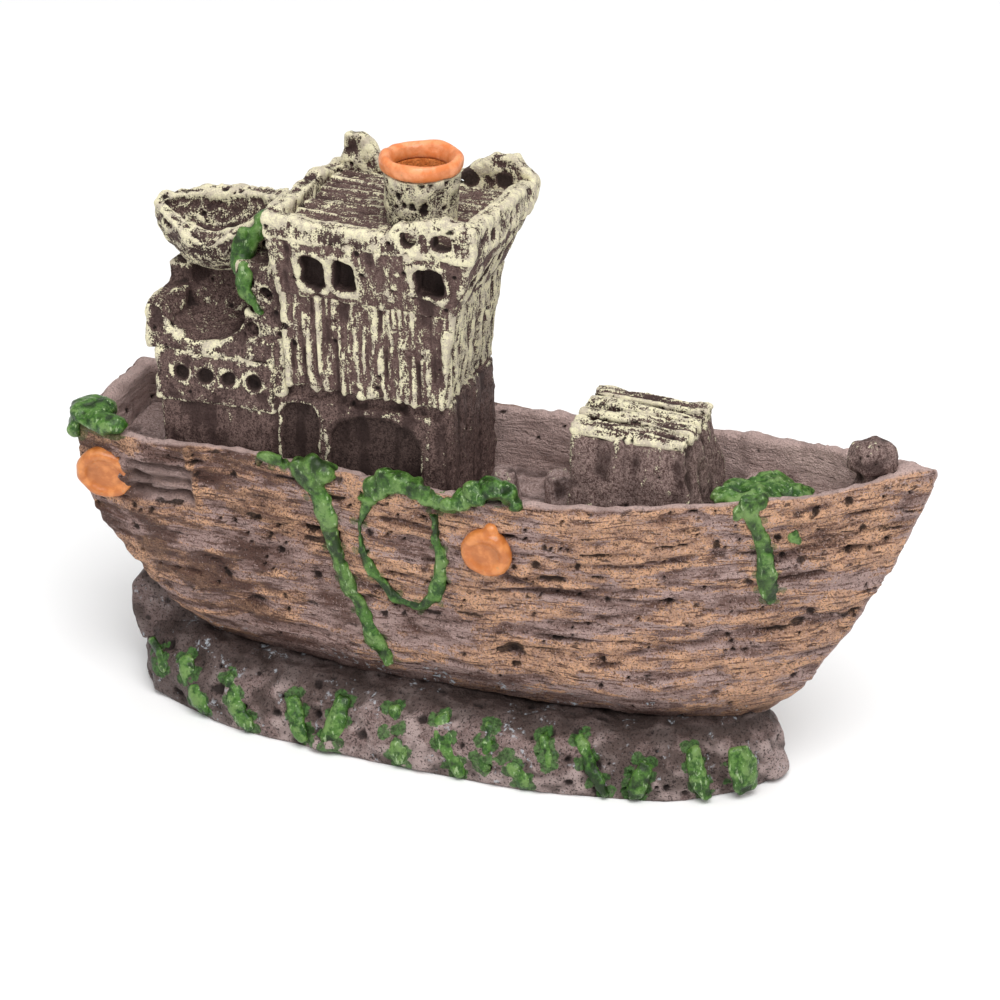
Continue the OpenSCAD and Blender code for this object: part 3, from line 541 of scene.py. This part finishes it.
def buildHull():
    look = hullLook
    clay = Clay("shipHull", ["ship_hull"], look["voxel"])
    clay.relax(4)
    clay.relax(16, 0.6 * ramp(clay.at[:, 0], 50, 57)[:, None])  # the stem head is rounded off
    at, n = clay.at, clay.facing()
    sideways = np.sign(at[:, 1]) * n[:, 1]
    outside = np.maximum(ramp(sideways, 0.15, 0.4), ramp(-n[:, 0], 0.4, 0.7) * ramp(-at[:, 0], 52.5, 54.5))
    top = ship["railZ"] + sheerLift(at[:, 0])
    share = np.clip((at[:, 2] - ship["footZ"]) / (top - ship["footZ"]), 0, 1)
    follow = at[:, 2] - sheerLift(at[:, 0]) * (0.62 + 0.38 * share)
    flow = np.stack([at[:, 0], at[:, 1], follow + 0.8 * softNoise(at, 8, 61)], axis=1)
    grain = softNoise(flow, (7, 7, 0.95), 11) + 0.6 * softNoise(flow, (4.5, 4.5, 0.6), 12)
    # broken dark cracks along the planks, where a slow noise crosses zero
    level = softNoise(flow, (13, 13, 2.0), 31)
    crack = (1 - ramp(np.abs(level), 0.02, 0.2)) * ramp(softNoise(at, (5, 5, 3), 32), -0.25, 0.3)
    cut = ramp(softNoise(flow, (6, 6, 0.9), 33) + 0.4 * softNoise(at, (2, 2, 1), 34), 0.62, 0.85)
    lumps = 0.6 * softNoise(at, 2.6, 41) + 0.5 * softNoise(at, 1.1, 42)
    belt = ramp(at[:, 2], 15, 25) * outside + 0.2
    pit = clay.dents(look["pits"], look["pitSmall"], look["pitLarge"], 7, belt)
    (x0, z0), (x1, z1) = look["recess"]
    inRecess = (ramp(at[:, 0], x0 - 0.5, x0 + 0.5) * ramp(-at[:, 0], -x1 - 0.5, -x1 + 0.5)
                * ramp(at[:, 2], z0 - 0.4, z0 + 0.8) * ramp(-at[:, 2], -z1 - 0.5, -z1 + 0.5)) * outside
    bar = np.exp(-(alongLine(at, *look["bar"]) / look["barSize"]) ** 2) * outside
    tail = np.exp(-(alongLine(at, *look["tail"]) / look["tailSize"]) ** 2) * outside * (at[:, 1] < 0)
    lip = ramp(-at[:, 2], -14, -11) * outside
    foot = ramp(-at[:, 2], -13, -9.2) * outside
    calm = 0.35 + 0.65 * ramp(at[:, 2], 11, 16)
    planks = look["grainDepth"] * grain - look["crackDepth"] * crack - look["gougeDepth"] * cut
    depth = outside * calm * planks
    depth += look["lumpDepth"] * lumps * (1 + 0.6 * (1 - outside)) - look["pitDepth"] * pit
    depth += 0.5 * np.maximum(0, softNoise(at, (4.5, 4.5, 6), 43)) * (1 - outside)
    boards = look["boardDepth"] * np.sin(at[:, 2] * 3.1 + softNoise(at, 5, 46))
    depth += look["barSize"] * bar + look["tailSize"] * tail - (look["recessDepth"] + boards) * inRecess
    clay.push(depth)
    # the hull draws in to a neck above the plinth
    drawIn = ramp(-clay.rest[:, 2], -look["neckTopZ"], -ship["footZ"])
    fromMiddle = clay.rest[:, 0] - look["middleX"]
    clay.at[:, 1] -= np.sign(at[:, 1]) * np.minimum(look["neckSides"], 0.35 * np.abs(at[:, 1])) * drawIn
    clay.at[:, 0] -= np.sign(fromMiddle) * look["neckEnds"] * drawIn * ramp(np.abs(fromMiddle), 26, 42)
    worn = softNoise(clay.rest, (20, 20, 4.5), 44) + 0.5 * softNoise(clay.rest, (9, 9, 1.8), 45)
    clay.at[:, 0] += look["wornEnds"] * worn * ramp(np.abs(n[:, 0]), 0.25, 0.7) * outside
    clay.at += slowWobble(clay.rest)
    relief = np.clip(grain * 0.6 + 0.45 * lumps - 0.5 * crack, -1, 1) * outside + lumps * (1 - outside)
    clay.mark("relief", relief)
    clay.mark("flow", flow[:, 2])
    # painted shade in the hollows of the hull
    clay.mark("hollowShade", ramp(-clay.proud(0.9), 0.1, 0.42) * 0.8)
    # painted shade: the hull is darkened towards the stern, away from the key light
    clay.mark("aft", 0.75 * ramp(-at[:, 0], 8, 34) * outside)
    # more tan towards the bow and the top: real tan paint, and the gradient is painted light
    clay.mark("tanAndLightShare", 0.13 * ramp(at[:, 0], -15, 30) + 0.16 * ramp(at[:, 2], 14, 30) - 0.1)
    clay.mark("outside", outside * (1 - 0.7 * inRecess))
    split = np.maximum(cut, crack * 0.5) * outside * 0.9 * calm
    clay.mark("gouge", np.clip(np.maximum(pit * 1.1, split), 0, 1))
    clay.mark("tanMark", np.clip(bar * 0.9 + tail * 1.1, 0, 1) ** 1.5)
    clay.mark("shade", np.clip(foot * 0.9 + (0.5 + boards) * inRecess, 0, 1))
    clay.mark("lip", lip)
    clay.mark("nearWeed", nearTo(clay.rest, weedPoints, 1.1) * outside)
    clay.finish(finishes["hull"], "hull_resin")


rockLook = {
    "voxel": 0.32, "heave": 0.8, "flute": 0.5, "crumb": 0.22,
    "pits": 170, "pitSmall": 0.3, "pitLarge": 1.3, "pitDepth": 0.8, "channelX": -9.8,
}
postLook = {"voxel": 0.3, "heave": 0.25, "swell": 0.15, "pits": 14, "pitSmall": 0.3, "pitLarge": 0.8}


def buildPlinth():
    look = rockLook
    clay = Clay("seabedRock", ["seabed_base"], look["voxel"])
    clay.relax(2)
    at, n = clay.at, clay.facing()
    under = ramp(-n[:, 2], 0.35, 0.75)
    # the channel behind, where the air line comes in, is left plain; the front counts as far from it
    fromChannel = np.abs(at[:, 0] - look["channelX"]) + 20 * (at[:, 1] < -1)
    skin = (1 - under) * ramp(at[:, 2], 0.0, 1.2) * ramp(fromChannel, 3.6, 5)
    heave = roughNoise(at, (6.5, 6.5, 5), 3, 71)
    flute = softNoise(at, (2.2, 2.2, 9), 72)
    pit = clay.dents(look["pits"], look["pitSmall"], look["pitLarge"], 17, skin + 0.001)
    crumb = softNoise(at, 1.3, 74) + 0.6 * softNoise(at, 0.7, 75)
    rise = look["heave"] * heave + look["flute"] * flute * ramp(-at[:, 2], -7.5, -5)
    clay.push(skin * (rise + look["crumb"] * crumb - look["pitDepth"] * pit))
    edge = skin * ramp(-clay.rest[:, 2], -5, -1) * 0.5 * softNoise(clay.rest, (4, 4, 50), 73)
    clay.push(edge)
    clay.mark("relief", np.clip(heave * 0.7 + flute * 0.4 + crumb * 0.5, -1, 1))
    clay.mark("gouge", pit)
    # painted light: the lowest band of the rock is lightened
    clay.mark("low", ramp(-at[:, 2], -5, -1))
    # painted shade in the hollows of the rock
    clay.mark("hollowShade", ramp(-clay.proud(1.0), 0.1, 0.42))
    clay.mark("shade", np.maximum(ramp(at[:, 2], 6.8, 8.6) * 0.9, 0.85 * ramp(-at[:, 0], 28, 40)))
    clay.mark("nearWeed", nearTo(clay.rest, weedPoints, 1.5))
    clay.finish(finishes["rock"], "base_resin")


def buildPost():
    look = postLook
    clay = Clay("rudderPost", ["rudder_post"], look["voxel"])
    clay.relax(8)
    clay.push(look["heave"] * roughNoise(clay.at, 4, 3, 81) + look["swell"])
    clay.mark("relief", roughNoise(clay.rest, 3, 2, 82))
    clay.mark("gouge", clay.dents(look["pits"], look["pitSmall"], look["pitLarge"], 27))
    # painted shade in the hollows of the post
    clay.mark("hollowShade", ramp(-clay.proud(0.8), 0.12, 0.5))
    clay.mark("shade", 0.35 + ramp(clay.rest[:, 0], -49, -43) * 0.6)
    clay.mark("nearWeed", np.zeros(len(clay.at)))
    clay.finish(finishes["rock"], "base_resin")


# grain is the size of the carved noise along x, y and z; carve is its depth; all in millimetres
# creamy shifts the amount of cream paint, foreLightCream adds to it on faces that look forward as painted
# light, and dark is how black the openings are painted, as painted shade
upperWorks = {
    "mainDeck": dict(node="main_deck", finish="deck", slot="deck_resin",
                     voxel=0.36, grain=(9, 1.3, 2), carve=0.25, pits=90, creamy=0),
    "foreDeck": dict(node="foredeck", finish="deck", slot="deck_resin",
                     voxel=0.3, grain=(9, 1.3, 2), carve=0.25, pits=30, creamy=0),
    "afterDeck": dict(node="after_deck", finish="deck", slot="deck_resin",
                      voxel=0.3, grain=(9, 1.3, 2), carve=0.25, pits=14, creamy=0),
    "arcadeCabin": dict(node="arcade_cabin", finish="cabin", slot="cabin_resin",
                        voxel=0.25, grain=(1.3, 1.3, 9), carve=0.2, pits=50, creamy=-0.22, dark=0.55),
    "portholeCabin": dict(node="porthole_cabin", finish="cabin", slot="cabin_resin",
                          voxel=0.18, grain=(1.8, 1.8, 1.6), carve=0.2, pits=26, creamy=-0.05),
    "nicheCabin": dict(node="niche_cabin", finish="cabin", slot="cabin_resin",
                       voxel=0.2, grain=(2.4, 2.4, 2.4), carve=0.28, pits=60, creamy=0.05),
    "brokenBoat": dict(node="aft_boat", finish="cabin", slot="cabin_resin",
                       voxel=0.17, grain=(3, 1.6, 1.3), carve=0.26, pits=70, creamy=0.34),
    "plankTower": dict(node="tower", finish="tower", slot="tower_resin",
                       voxel=0.2, grain=(0.75, 0.75, 7), carve=0.46, pits=90, creamy=-0.02, foreLightCream=0.26),
    "bridgeHouse": dict(node="bridge_house", finish="tower", slot="tower_resin",
                        voxel=0.2, grain=(1.3, 1.3, 6), carve=0.32, pits=80, creamy=-0.12),
    "bridgeFloor": dict(node="bridge_floor", finish="tower", slot="tower_resin",
                        voxel=0.2, grain=(8, 0.8, 3), carve=0.4, pits=30, creamy=0),
    "bridgeParapet": dict(node="bridge_parapet", finish="tower", slot="tower_resin",
                          voxel=0.17, grain=(2.4, 2.4, 1.9), carve=0.27, pits=110, creamy=0.19),
    "cargoHatch": dict(node="cargo_hatch", finish="hatch", slot="tower_resin",
                       voxel=0.22, grain=(1.5, 1.5, 9), carve=0.5, pits=50, creamy=0.12),
    "hatchBoards": dict(node="hatch_boards", finish="tower", slot="tower_resin",
                        voxel=0.17, grain=(6, 0.9, 1.0), carve=0.34, pits=60, creamy=0.12, swell=0),
    "bowKnob": dict(node="bow_knob", finish="hatch", slot="deck_resin",
                    voxel=0.2, grain=(2.2, 2.2, 2.2), carve=0.5, pits=24, creamy=0),
    "deckPosts": dict(node="deck_posts", finish="deck", slot="deck_resin",
                      voxel=0.2, grain=(1.4, 1.4, 4), carve=0.35, pits=12, creamy=0),
}


# what the cast pieces share, in millimetres
castLook = {"swell": 0.14, "lump": 0.16, "pitSmall": 0.2, "pitLarge": 0.6, "pitDepth": 0.45, "seed": 200}


def windowGap(at, across, centre, half, corner):
    # distance outside the edge of a round-cornered opening, negative inside it
    q = np.abs(at[:, [across, 2]] - centre) - (np.asarray(half) - corner)
    return np.linalg.norm(np.maximum(q, 0), axis=1) + np.minimum(q.max(axis=1), 0) - corner


# side openings are given by x and z, fore openings by y and z: (centre, half size, corner radius)
sideOpenings = {
    "bridgeHouse": [((-21.2, 67.3), (1.6, 2.4), 1.0), ((-17.0, 67.4), (1.55, 2.4), 1.0),
                    ((-5.3, 68.3), (1.9, 1.9), 0.9)],
    "bridgeParapet": [((-7.7, 74.1), (1.15, 1.15), 1.1), ((-3.1, 74.3), (1.2, 1.1), 0.8)],
    "portholeCabin": [((x, 49.9), (1.1, 1.1), 1.0) for x in (-40.5, -37, -33.8, -30.2)],
    "arcadeCabin": [((-24.1, 40.5), (2.5, 7.3), 2.3), ((-13.9, 40.3), (6.3, 7.1), 3.5)],
}
foreOpenings = {
    "bridgeHouse": [((y, 67.6), (1.1, 1.8), 0.8) for y in (-7.4, -2.4, 2.4)],
    "bridgeParapet": [((-5.7, 73.7), (0.8, 0.8), 0.7), ((0.8, 73.7), (0.8, 0.8), 0.7)],
}
frameLook = {
    "bridgeHouse": dict(lift=0.34, creamy=0.42, width=0.46),
    "bridgeParapet": dict(lift=0.1, creamy=0.15, width=0.45),
    "portholeCabin": dict(lift=0.1, creamy=0.12, width=0.3),
    "arcadeCabin": dict(lift=0.1, creamy=0.42, width=0.28),
}
wallsFrom = {"sideY": 7.4, "foreX": -3.6}  # openings are only carved in walls beyond these


def openingMarks(name, at):
    # how far inside an opening, and how much on the raised frame around one
    inside, framing = np.zeros(len(at)), np.zeros(len(at))
    width = frameLook[name]["width"] if name in frameLook else 1
    jobs = [(0, o, np.abs(at[:, 1]) > wallsFrom["sideY"]) for o in sideOpenings.get(name, [])]
    jobs += [(1, o, at[:, 0] > wallsFrom["foreX"]) for o in foreOpenings.get(name, [])]
    for across, (centre, half, corner), zone in jobs:
        gap = windowGap(at, across, np.array(centre), half, corner) + 0.22 * softNoise(at, 1.5, 55)
        inside = np.maximum(inside, ramp(-gap, -0.2, 0.25) * zone)
        framing = np.maximum(framing, np.exp(-((gap - width) / width) ** 2) * zone)
    return inside, framing * (0.75 + 0.4 * softNoise(at, 2.2, 56))


def buildUpperWork(name, look, seed):
    clay = Clay(name, [look["node"]], look["voxel"])
    clay.relax(4)
    # swollen a little, so that neighbours stay in touch after carving
    clay.push(np.full(len(clay.at), look.get("swell", castLook["swell"])))
    at = clay.at
    size = np.array(look["grain"], float)
    planks = softNoise(at, size, seed) + 0.6 * softNoise(at, size * (0.55, 0.55, 0.6), seed + 1)
    lumps = softNoise(at, 2.0, seed + 2) + 0.6 * softNoise(at, 0.9, seed + 3)
    lumps += 0.4 * softNoise(at, 0.5, seed + 5)
    pit = clay.dents(look["pits"], castLook["pitSmall"], castLook["pitLarge"], seed + 4)
    inside, framing = openingMarks(name, at)
    rim = frameLook.get(name, dict(lift=0, creamy=0))
    carved = look["carve"] * planks * (1 - 0.6 * framing) + castLook["lump"] * lumps
    carved = carved - castLook["pitDepth"] * pit
    clay.push(carved * (1 - 0.7 * inside) + rim["lift"] * framing)
    clay.at += slowWobble(clay.rest)
    clay.wearMarks()
    # painted shade: the hollows, and the window openings painted dark
    clay.mark("hollowShade", np.maximum(clay.marks["hollowShade"], inside * look.get("dark", 1.0)))
    clay.mark("relief", np.clip(planks * 0.8 + 0.35 * lumps, -1, 1))
    clay.mark("gouge", pit)
    # painted light: faces that look forward get more cream, as if lit by the key light
    ahead = ramp(clay.facing()[:, 0], 0.4, 0.8)
    clay.mark("creamy", look["creamy"] + rim["creamy"] * framing + look.get("foreLightCream", 0) * ahead)
    clay.finish(finishes[look["finish"]], look["slot"])


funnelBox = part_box("funnel")
funnelAxis = [(low + high) * perMetre / 2 for low, high in zip(*funnelBox)][:2]
funnelLook = {"voxel": 0.2, "bite": 0.22, "pits": 60, "pitDepth": 0.45, "rimVoxel": 0.18, "rimBite": 0.22}


def radiusFrom(at):
    return np.hypot(at[:, 0] - funnelAxis[0], at[:, 1] - funnelAxis[1])


def buildFunnel():
    clay = Clay("funnelTrunk", ["funnel"], funnelLook["voxel"])
    clay.relax(2)
    at = clay.at
    skin = ramp(radiusFrom(at), 3.7, 4.2)
    lumps = softNoise(at, 2.1, 91) + 0.6 * softNoise(at, 1.0, 92)
    pit = clay.dents(funnelLook["pits"], 0.3, 0.8, 93, skin + 0.001)
    clay.push(skin * (funnelLook["bite"] * lumps - funnelLook["pitDepth"] * pit))
    clay.at += slowWobble(clay.rest) * 0.5 * skin[:, None]
    clay.wearMarks()
    clay.mark("relief", np.clip(lumps, -1, 1) * skin)
    clay.mark("gouge", pit * skin)
    clay.mark("creamy", skin * 0.3)
    clay.mark("mouth", 1 - skin)
    clay.finish(finishes["funnel"], "tower_resin")


def buildRim():
    clay = Clay("funnelRim", ["funnel_rim"], funnelLook["rimVoxel"])
    clay.relax(5)
    at = clay.at
    skin = ramp(radiusFrom(at), 3.6, 4.2)
    lumps = softNoise(at, 3.0, 95) + 0.4 * softNoise(at, 1.2, 96)
    clay.push(skin * funnelLook["rimBite"] * lumps)
    clay.at[:, 2] += 0.3 * softNoise(clay.rest, (6, 6, 30), 97) * skin
    clay.at += slowWobble(clay.rest) * 0.5 * skin[:, None]
    # the relief drops on the inside of the mouth, which the orange paint turns into painted shade
    clay.mark("relief", np.clip(lumps, -1, 1) * 0.6 + 0.4 * (2 * skin - 1))
    clay.finish(finishes["rim"], "orange_enamel")


ringLook = {
    "voxel": 0.2, "lump": 0.16, "swell": 0.05, "nub": 0.95, "nubLean": 0.7, "lean": 0.25, "sag": 0.5,
}


def strapNub(box):
    # the stub of strap moulded at the top of a ring
    def add(bm):
        low, high = (Vector(c) * perMetre for c in box)
        middle = (low + high) / 2
        made = bmesh.ops.create_icosphere(bm, subdivisions=3, radius=ringLook["nub"])["verts"]
        bmesh.ops.translate(bm, verts=made, vec=(middle.x + ringLook["nubLean"], middle.y, high.z + 0.1))
    return add


def buildRing(name, node, nub):
    look = ringLook
    extras = [strapNub(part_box(node))] if nub else []
    clay = Clay(name, [node], look["voxel"], extras)
    clay.relax(7)
    lumps = softNoise(clay.at, 2.4, 101) + 0.4 * softNoise(clay.at, 1.1, 102)
    clay.push(look["lump"] * lumps + look["swell"])
    if not nub:  # the after rings lean forward and sag a little
        low, high = clay.rest.min(axis=0), clay.rest.max(axis=0)
        ahead = ramp(clay.rest[:, 0], (low[0] + high[0]) / 2 - 1, high[0])
        clay.at[:, 0] += look["lean"] * ahead
        clay.at[:, 2] -= look["sag"] * ahead
    # the relief dips in hollows, which the orange paint turns into painted shade
    clay.mark("relief", np.clip(lumps * 0.6 + clay.proud(0.7) / 0.3, -1, 1))
    clay.finish(finishes["orange"], "orange_enamel")


weedLook = {
    "weed_stern": dict(name="weedStern", lump=0.34, swell=-0.1, flat=0.0),
    "weed_long_strand": dict(name="weedLongStrand", lump=0.24, swell=-0.05, flat=0.75),
    "weed_loop": dict(name="weedLoop", lump=0.24, swell=-0.05, flat=0.35),
    "weed_midships": dict(name="weedMidships", lump=0.34, swell=0.1, flat=0.0),
    "weed_bow_mat": dict(name="weedBowMat", lump=0.55, swell=-0.2, flat=0.0, squash=0.5, even=22),
    "weed_bow_strand": dict(name="weedBowStrand", lump=0.24, swell=-0.1, flat=0.7),
    "weed_tower": dict(name="weedTower", lump=0.34, swell=-0.05, flat=0.1),
    "weed_port_side": dict(name="weedPortSide", lump=0.24, swell=-0.05, flat=0.6),
    "weed_base": dict(name="weedPlinth", lump=0.26, swell=0.12, flat=0.15),
}
strandLook = {"voxel": 0.2, "even": 3, "sway": 0.45, "seed": 400}  # what all the weed shares

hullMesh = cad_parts["ship_hull"].data
hullTree = BVHTree.FromPolygons([v.co * perMetre for v in hullMesh.vertices],
                                [list(p.vertices) for p in hullMesh.polygons])

# dabs of paint added to a strand: x, z and radius on the starboard side of the hull
hullDabs = {
    "weed_loop": [(-13.9, 37.9, 1.1), (-12.9, 39.8, 1.3), (-11.0, 41.0, 1.5), (-8.9, 41.3, 1.4),
                  (-6.9, 40.8, 1.5), (-5.0, 40.0, 1.3), (-3.4, 39.6, 1.1)],
    "weed_midships": [(-2.0, 39.7, 1.1), (-0.4, 40.6, 1.4), (1.5, 41.8, 1.6), (3.7, 42.8, 1.7),
                      (5.7, 42.5, 1.5), (6.9, 41.1, 1.1)],
    "weed_long_strand": [(-24.8, 40.5, 0.9), (-22.7, 40.9, 1.1), (-20.8, 41.2, 1.4), (-19.4, 40.3, 1.6)],
    "weed_bow_strand": [(35.3, 42.9, 1.0), (36.6, 44.4, 1.4), (38.4, 44.7, 1.2), (41.6, 39.6, 0.8),
                        (42.2, 39.0, 0.6), (42.0, 40.3, 0.5)],
}
# dabs in the open: x, y, z and radius
openDabs = {
    "weed_tower": [(-28.6, -5.2, 72.0, 1.1), (-29.4, -4.8, 71.2, 1.2), (-31.2, -5.2, 69.0, 1.3),
                   (-32.4, -6.6, 66, 1.3), (-32.3, -7.2, 65.2, 1.2), (-32.0, -7.8, 64.5, 1.1),
                   (-31.0, -8.8, 62.8, 0.9), (-30.4, -9.2, 61.6, 0.8), (-29.6, -9.3, 60.4, 0.7)],
    "weed_bow_mat": [(32.5, 0.5, 41.2, 2.4), (34.5, 2.5, 41.2, 2.4), (36.5, 3.5, 40.9, 2.2),
                     (37.5, 0.5, 41, 2.4), (34.8, -1.5, 41.4, 2.6), (31.6, -2.6, 41.4, 2.2),
                     (39.8, 2.6, 40.6, 2)],
}


def paintDabs(node):
    def add(bm):
        spots = list(openDabs.get(node, []))
        for x, z, radius in hullDabs.get(node, []):
            below = min(z, ship["railZ"] + float(sheerLift(np.array(x))) - 0.6)
            skin = hullTree.ray_cast(Vector((x, -40, below)), Vector((0, 1, 0)))[0]
            spots.append((x, skin.y + 0.35 * radius, z, radius))
        for x, y, z, radius in spots:
            made = bmesh.ops.create_icosphere(bm, subdivisions=3, radius=radius)["verts"]
            bmesh.ops.scale(bm, verts=made, vec=(1, 1, weedLook[node].get("squash", 1)))
            bmesh.ops.translate(bm, verts=made, vec=(x, y, z))
    return add


def buildWeed(node, look, seed):
    clay = Clay(look["name"], [node], strandLook["voxel"], [paintDabs(node)])
    clay.relax(look.get("even", strandLook["even"]))
    at = clay.at
    big, small = softNoise(at, 1.8, seed), softNoise(at, 0.75, seed + 1)
    sway = strandLook["sway"]
    clay.at += np.stack([sway * softNoise(at, 2.6, seed + 5), np.zeros(len(at)),
                         sway * softNoise(at, 2.6, seed + 6)], axis=1)
    clay.push(look["swell"] + look["lump"] * (big + 0.55 * small))
    clay.at += slowWobble(clay.rest)
    clay.mark("relief", np.clip(big * 0.8 + small * 0.7, -1, 1))
    clay.mark("flat", look["flat"] * ramp(softNoise(clay.rest, 4.5, seed + 7), -0.5, 0.2))
    clay.finish(finishes["weed"], "weed_enamel")


# out is how far from the mouth the barbs start and end; the stub's axis is at axisZ
inletLook = {
    "voxel": 0.22, "out": (7.2, 6.6), "axisZ": 4.2, "barbStep": 2.2, "barbDepth": 0.18, "shrink": 0.16,
}
stoneLook = {"voxel": 0.16, "grit": 0.07, "coarse": 0.55, "fine": 0.3}


def buildInlet():
    # hose barbs on the stub
    look = inletLook
    clay = Clay("airElbow", ["air_elbow"], look["voxel"])
    clay.relax(1)
    low, high = (np.array(c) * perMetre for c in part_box("air_elbow"))
    at = clay.at
    out = ramp(at[:, 1], high[1] - look["out"][0], high[1] - look["out"][1])
    fromAxis = np.hypot(at[:, 0] - funnelAxis[0], at[:, 2] - look["axisZ"])
    barb = np.mod(high[1] - at[:, 1], look["barbStep"]) / look["barbStep"]
    clay.push(out * ramp(fromAxis, 1.8, 2.1) * (look["barbDepth"] * barb - look["shrink"]))
    clay.finish(finishes["inlet"], "inlet_plastic")


def buildStone():
    look = stoneLook
    clay = Clay("airStone", ["air_stone"], look["voxel"])
    clay.relax(2)
    grit = softNoise(clay.at, look["coarse"], 111) + 0.6 * softNoise(clay.at, look["fine"], 112)
    clay.push(look["grit"] * grit - look["grit"])
    clay.finish(finishes["grit"], "stone_grit", "stone_insert")


print("sculpting")
buildHull()
buildPlinth()
buildPost()
for order, (pieceName, pieceLook) in enumerate(upperWorks.items()):
    buildUpperWork(pieceName, pieceLook, castLook["seed"] + 10 * order)
buildFunnel()
buildRim()
for ringNode in ("ring_starboard_mid", "ring_port_mid", "ring_starboard_aft", "ring_port_aft"):
    words = ringNode.split("_")
    buildRing("lifeRing" + words[1].title() + words[2].title(), ringNode, words[2] == "mid")
for order, (weedNode, pieceLook) in enumerate(weedLook.items()):
    buildWeed(weedNode, pieceLook, strandLook["seed"] + 10 * order)
buildInlet()
buildStone()
for node in ("riser_tube", "stone_nipple"):
    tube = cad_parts[node]
    for slot in tube.material_slots:
        slot.material = finishes["tube"]
print("pieces done")

studio = {
    "azimuth": 20, "elevation": 27, "distance": 0.52, "aim": (0, 0, 0.038), "lens": 144.14, "shiftY": -0.03,
    "sensor": 36, "clipStart": 0.01, "floorTone": 0.97, "floorSize": 6, "roomLight": 0.42,
    # name, azimuth, elevation, distance, size, watts
    "lamps": [("keyLamp", 34, 58, 0.9, 0.7, 7.4), ("fillLamp", -40, 30, 0.9, 0.6, 1.2),
              ("topLamp", 170, 75, 0.8, 0.6, 1.5)],
}


def outFrom(azimuth, elevation):
    a, e = math.radians(azimuth), math.radians(elevation)
    return Vector((math.sin(a) * math.cos(e), -math.cos(a) * math.cos(e), math.sin(e)))


def floorPaper(root):
    tone = studio["floorTone"]
    return {"Base Color": tint(tone, tone, tone), "Roughness": 0.9}


def buildStudio():
    scene = bpy.context.scene
    aim = Vector(studio["aim"])
    camera = bpy.data.objects.new("camera", bpy.data.cameras.new("camera"))
    scene.collection.objects.link(camera)
    camera.data.sensor_width = studio["sensor"]
    camera.data.lens = studio["lens"]
    camera.data.shift_y = studio["shiftY"]
    camera.data.clip_start = studio["clipStart"]
    back = outFrom(studio["azimuth"], studio["elevation"])
    camera.location = aim + back * studio["distance"]
    camera.rotation_euler = back.to_track_quat("Z", "Y").to_euler()
    scene.camera = camera
    for name, azimuth, elevation, distance, size, watts in studio["lamps"]:
        lamp = bpy.data.lights.new(name, "AREA")
        lamp.shape = "DISK"
        lamp.size = size
        lamp.energy = watts
        holder = bpy.data.objects.new(name, lamp)
        scene.collection.objects.link(holder)
        way = outFrom(azimuth, elevation)
        holder.location = aim + way * distance
        holder.rotation_euler = way.to_track_quat("Z", "Y").to_euler()
    world = bpy.data.worlds.new("paleRoom")
    world.use_nodes = True
    world.node_tree.nodes["Background"].inputs["Color"].default_value = (1, 1, 1, 1)
    world.node_tree.nodes["Background"].inputs["Strength"].default_value = studio["roomLight"]
    scene.world = world
    bpy.ops.mesh.primitive_plane_add(size=studio["floorSize"])
    floor = bpy.context.active_object
    floor.name = "paleFloor"
    floor.data.materials.append(newFinish("floorPaper", floorPaper))
    scene.view_settings.view_transform = "Standard"


buildStudio()
print("studio done")
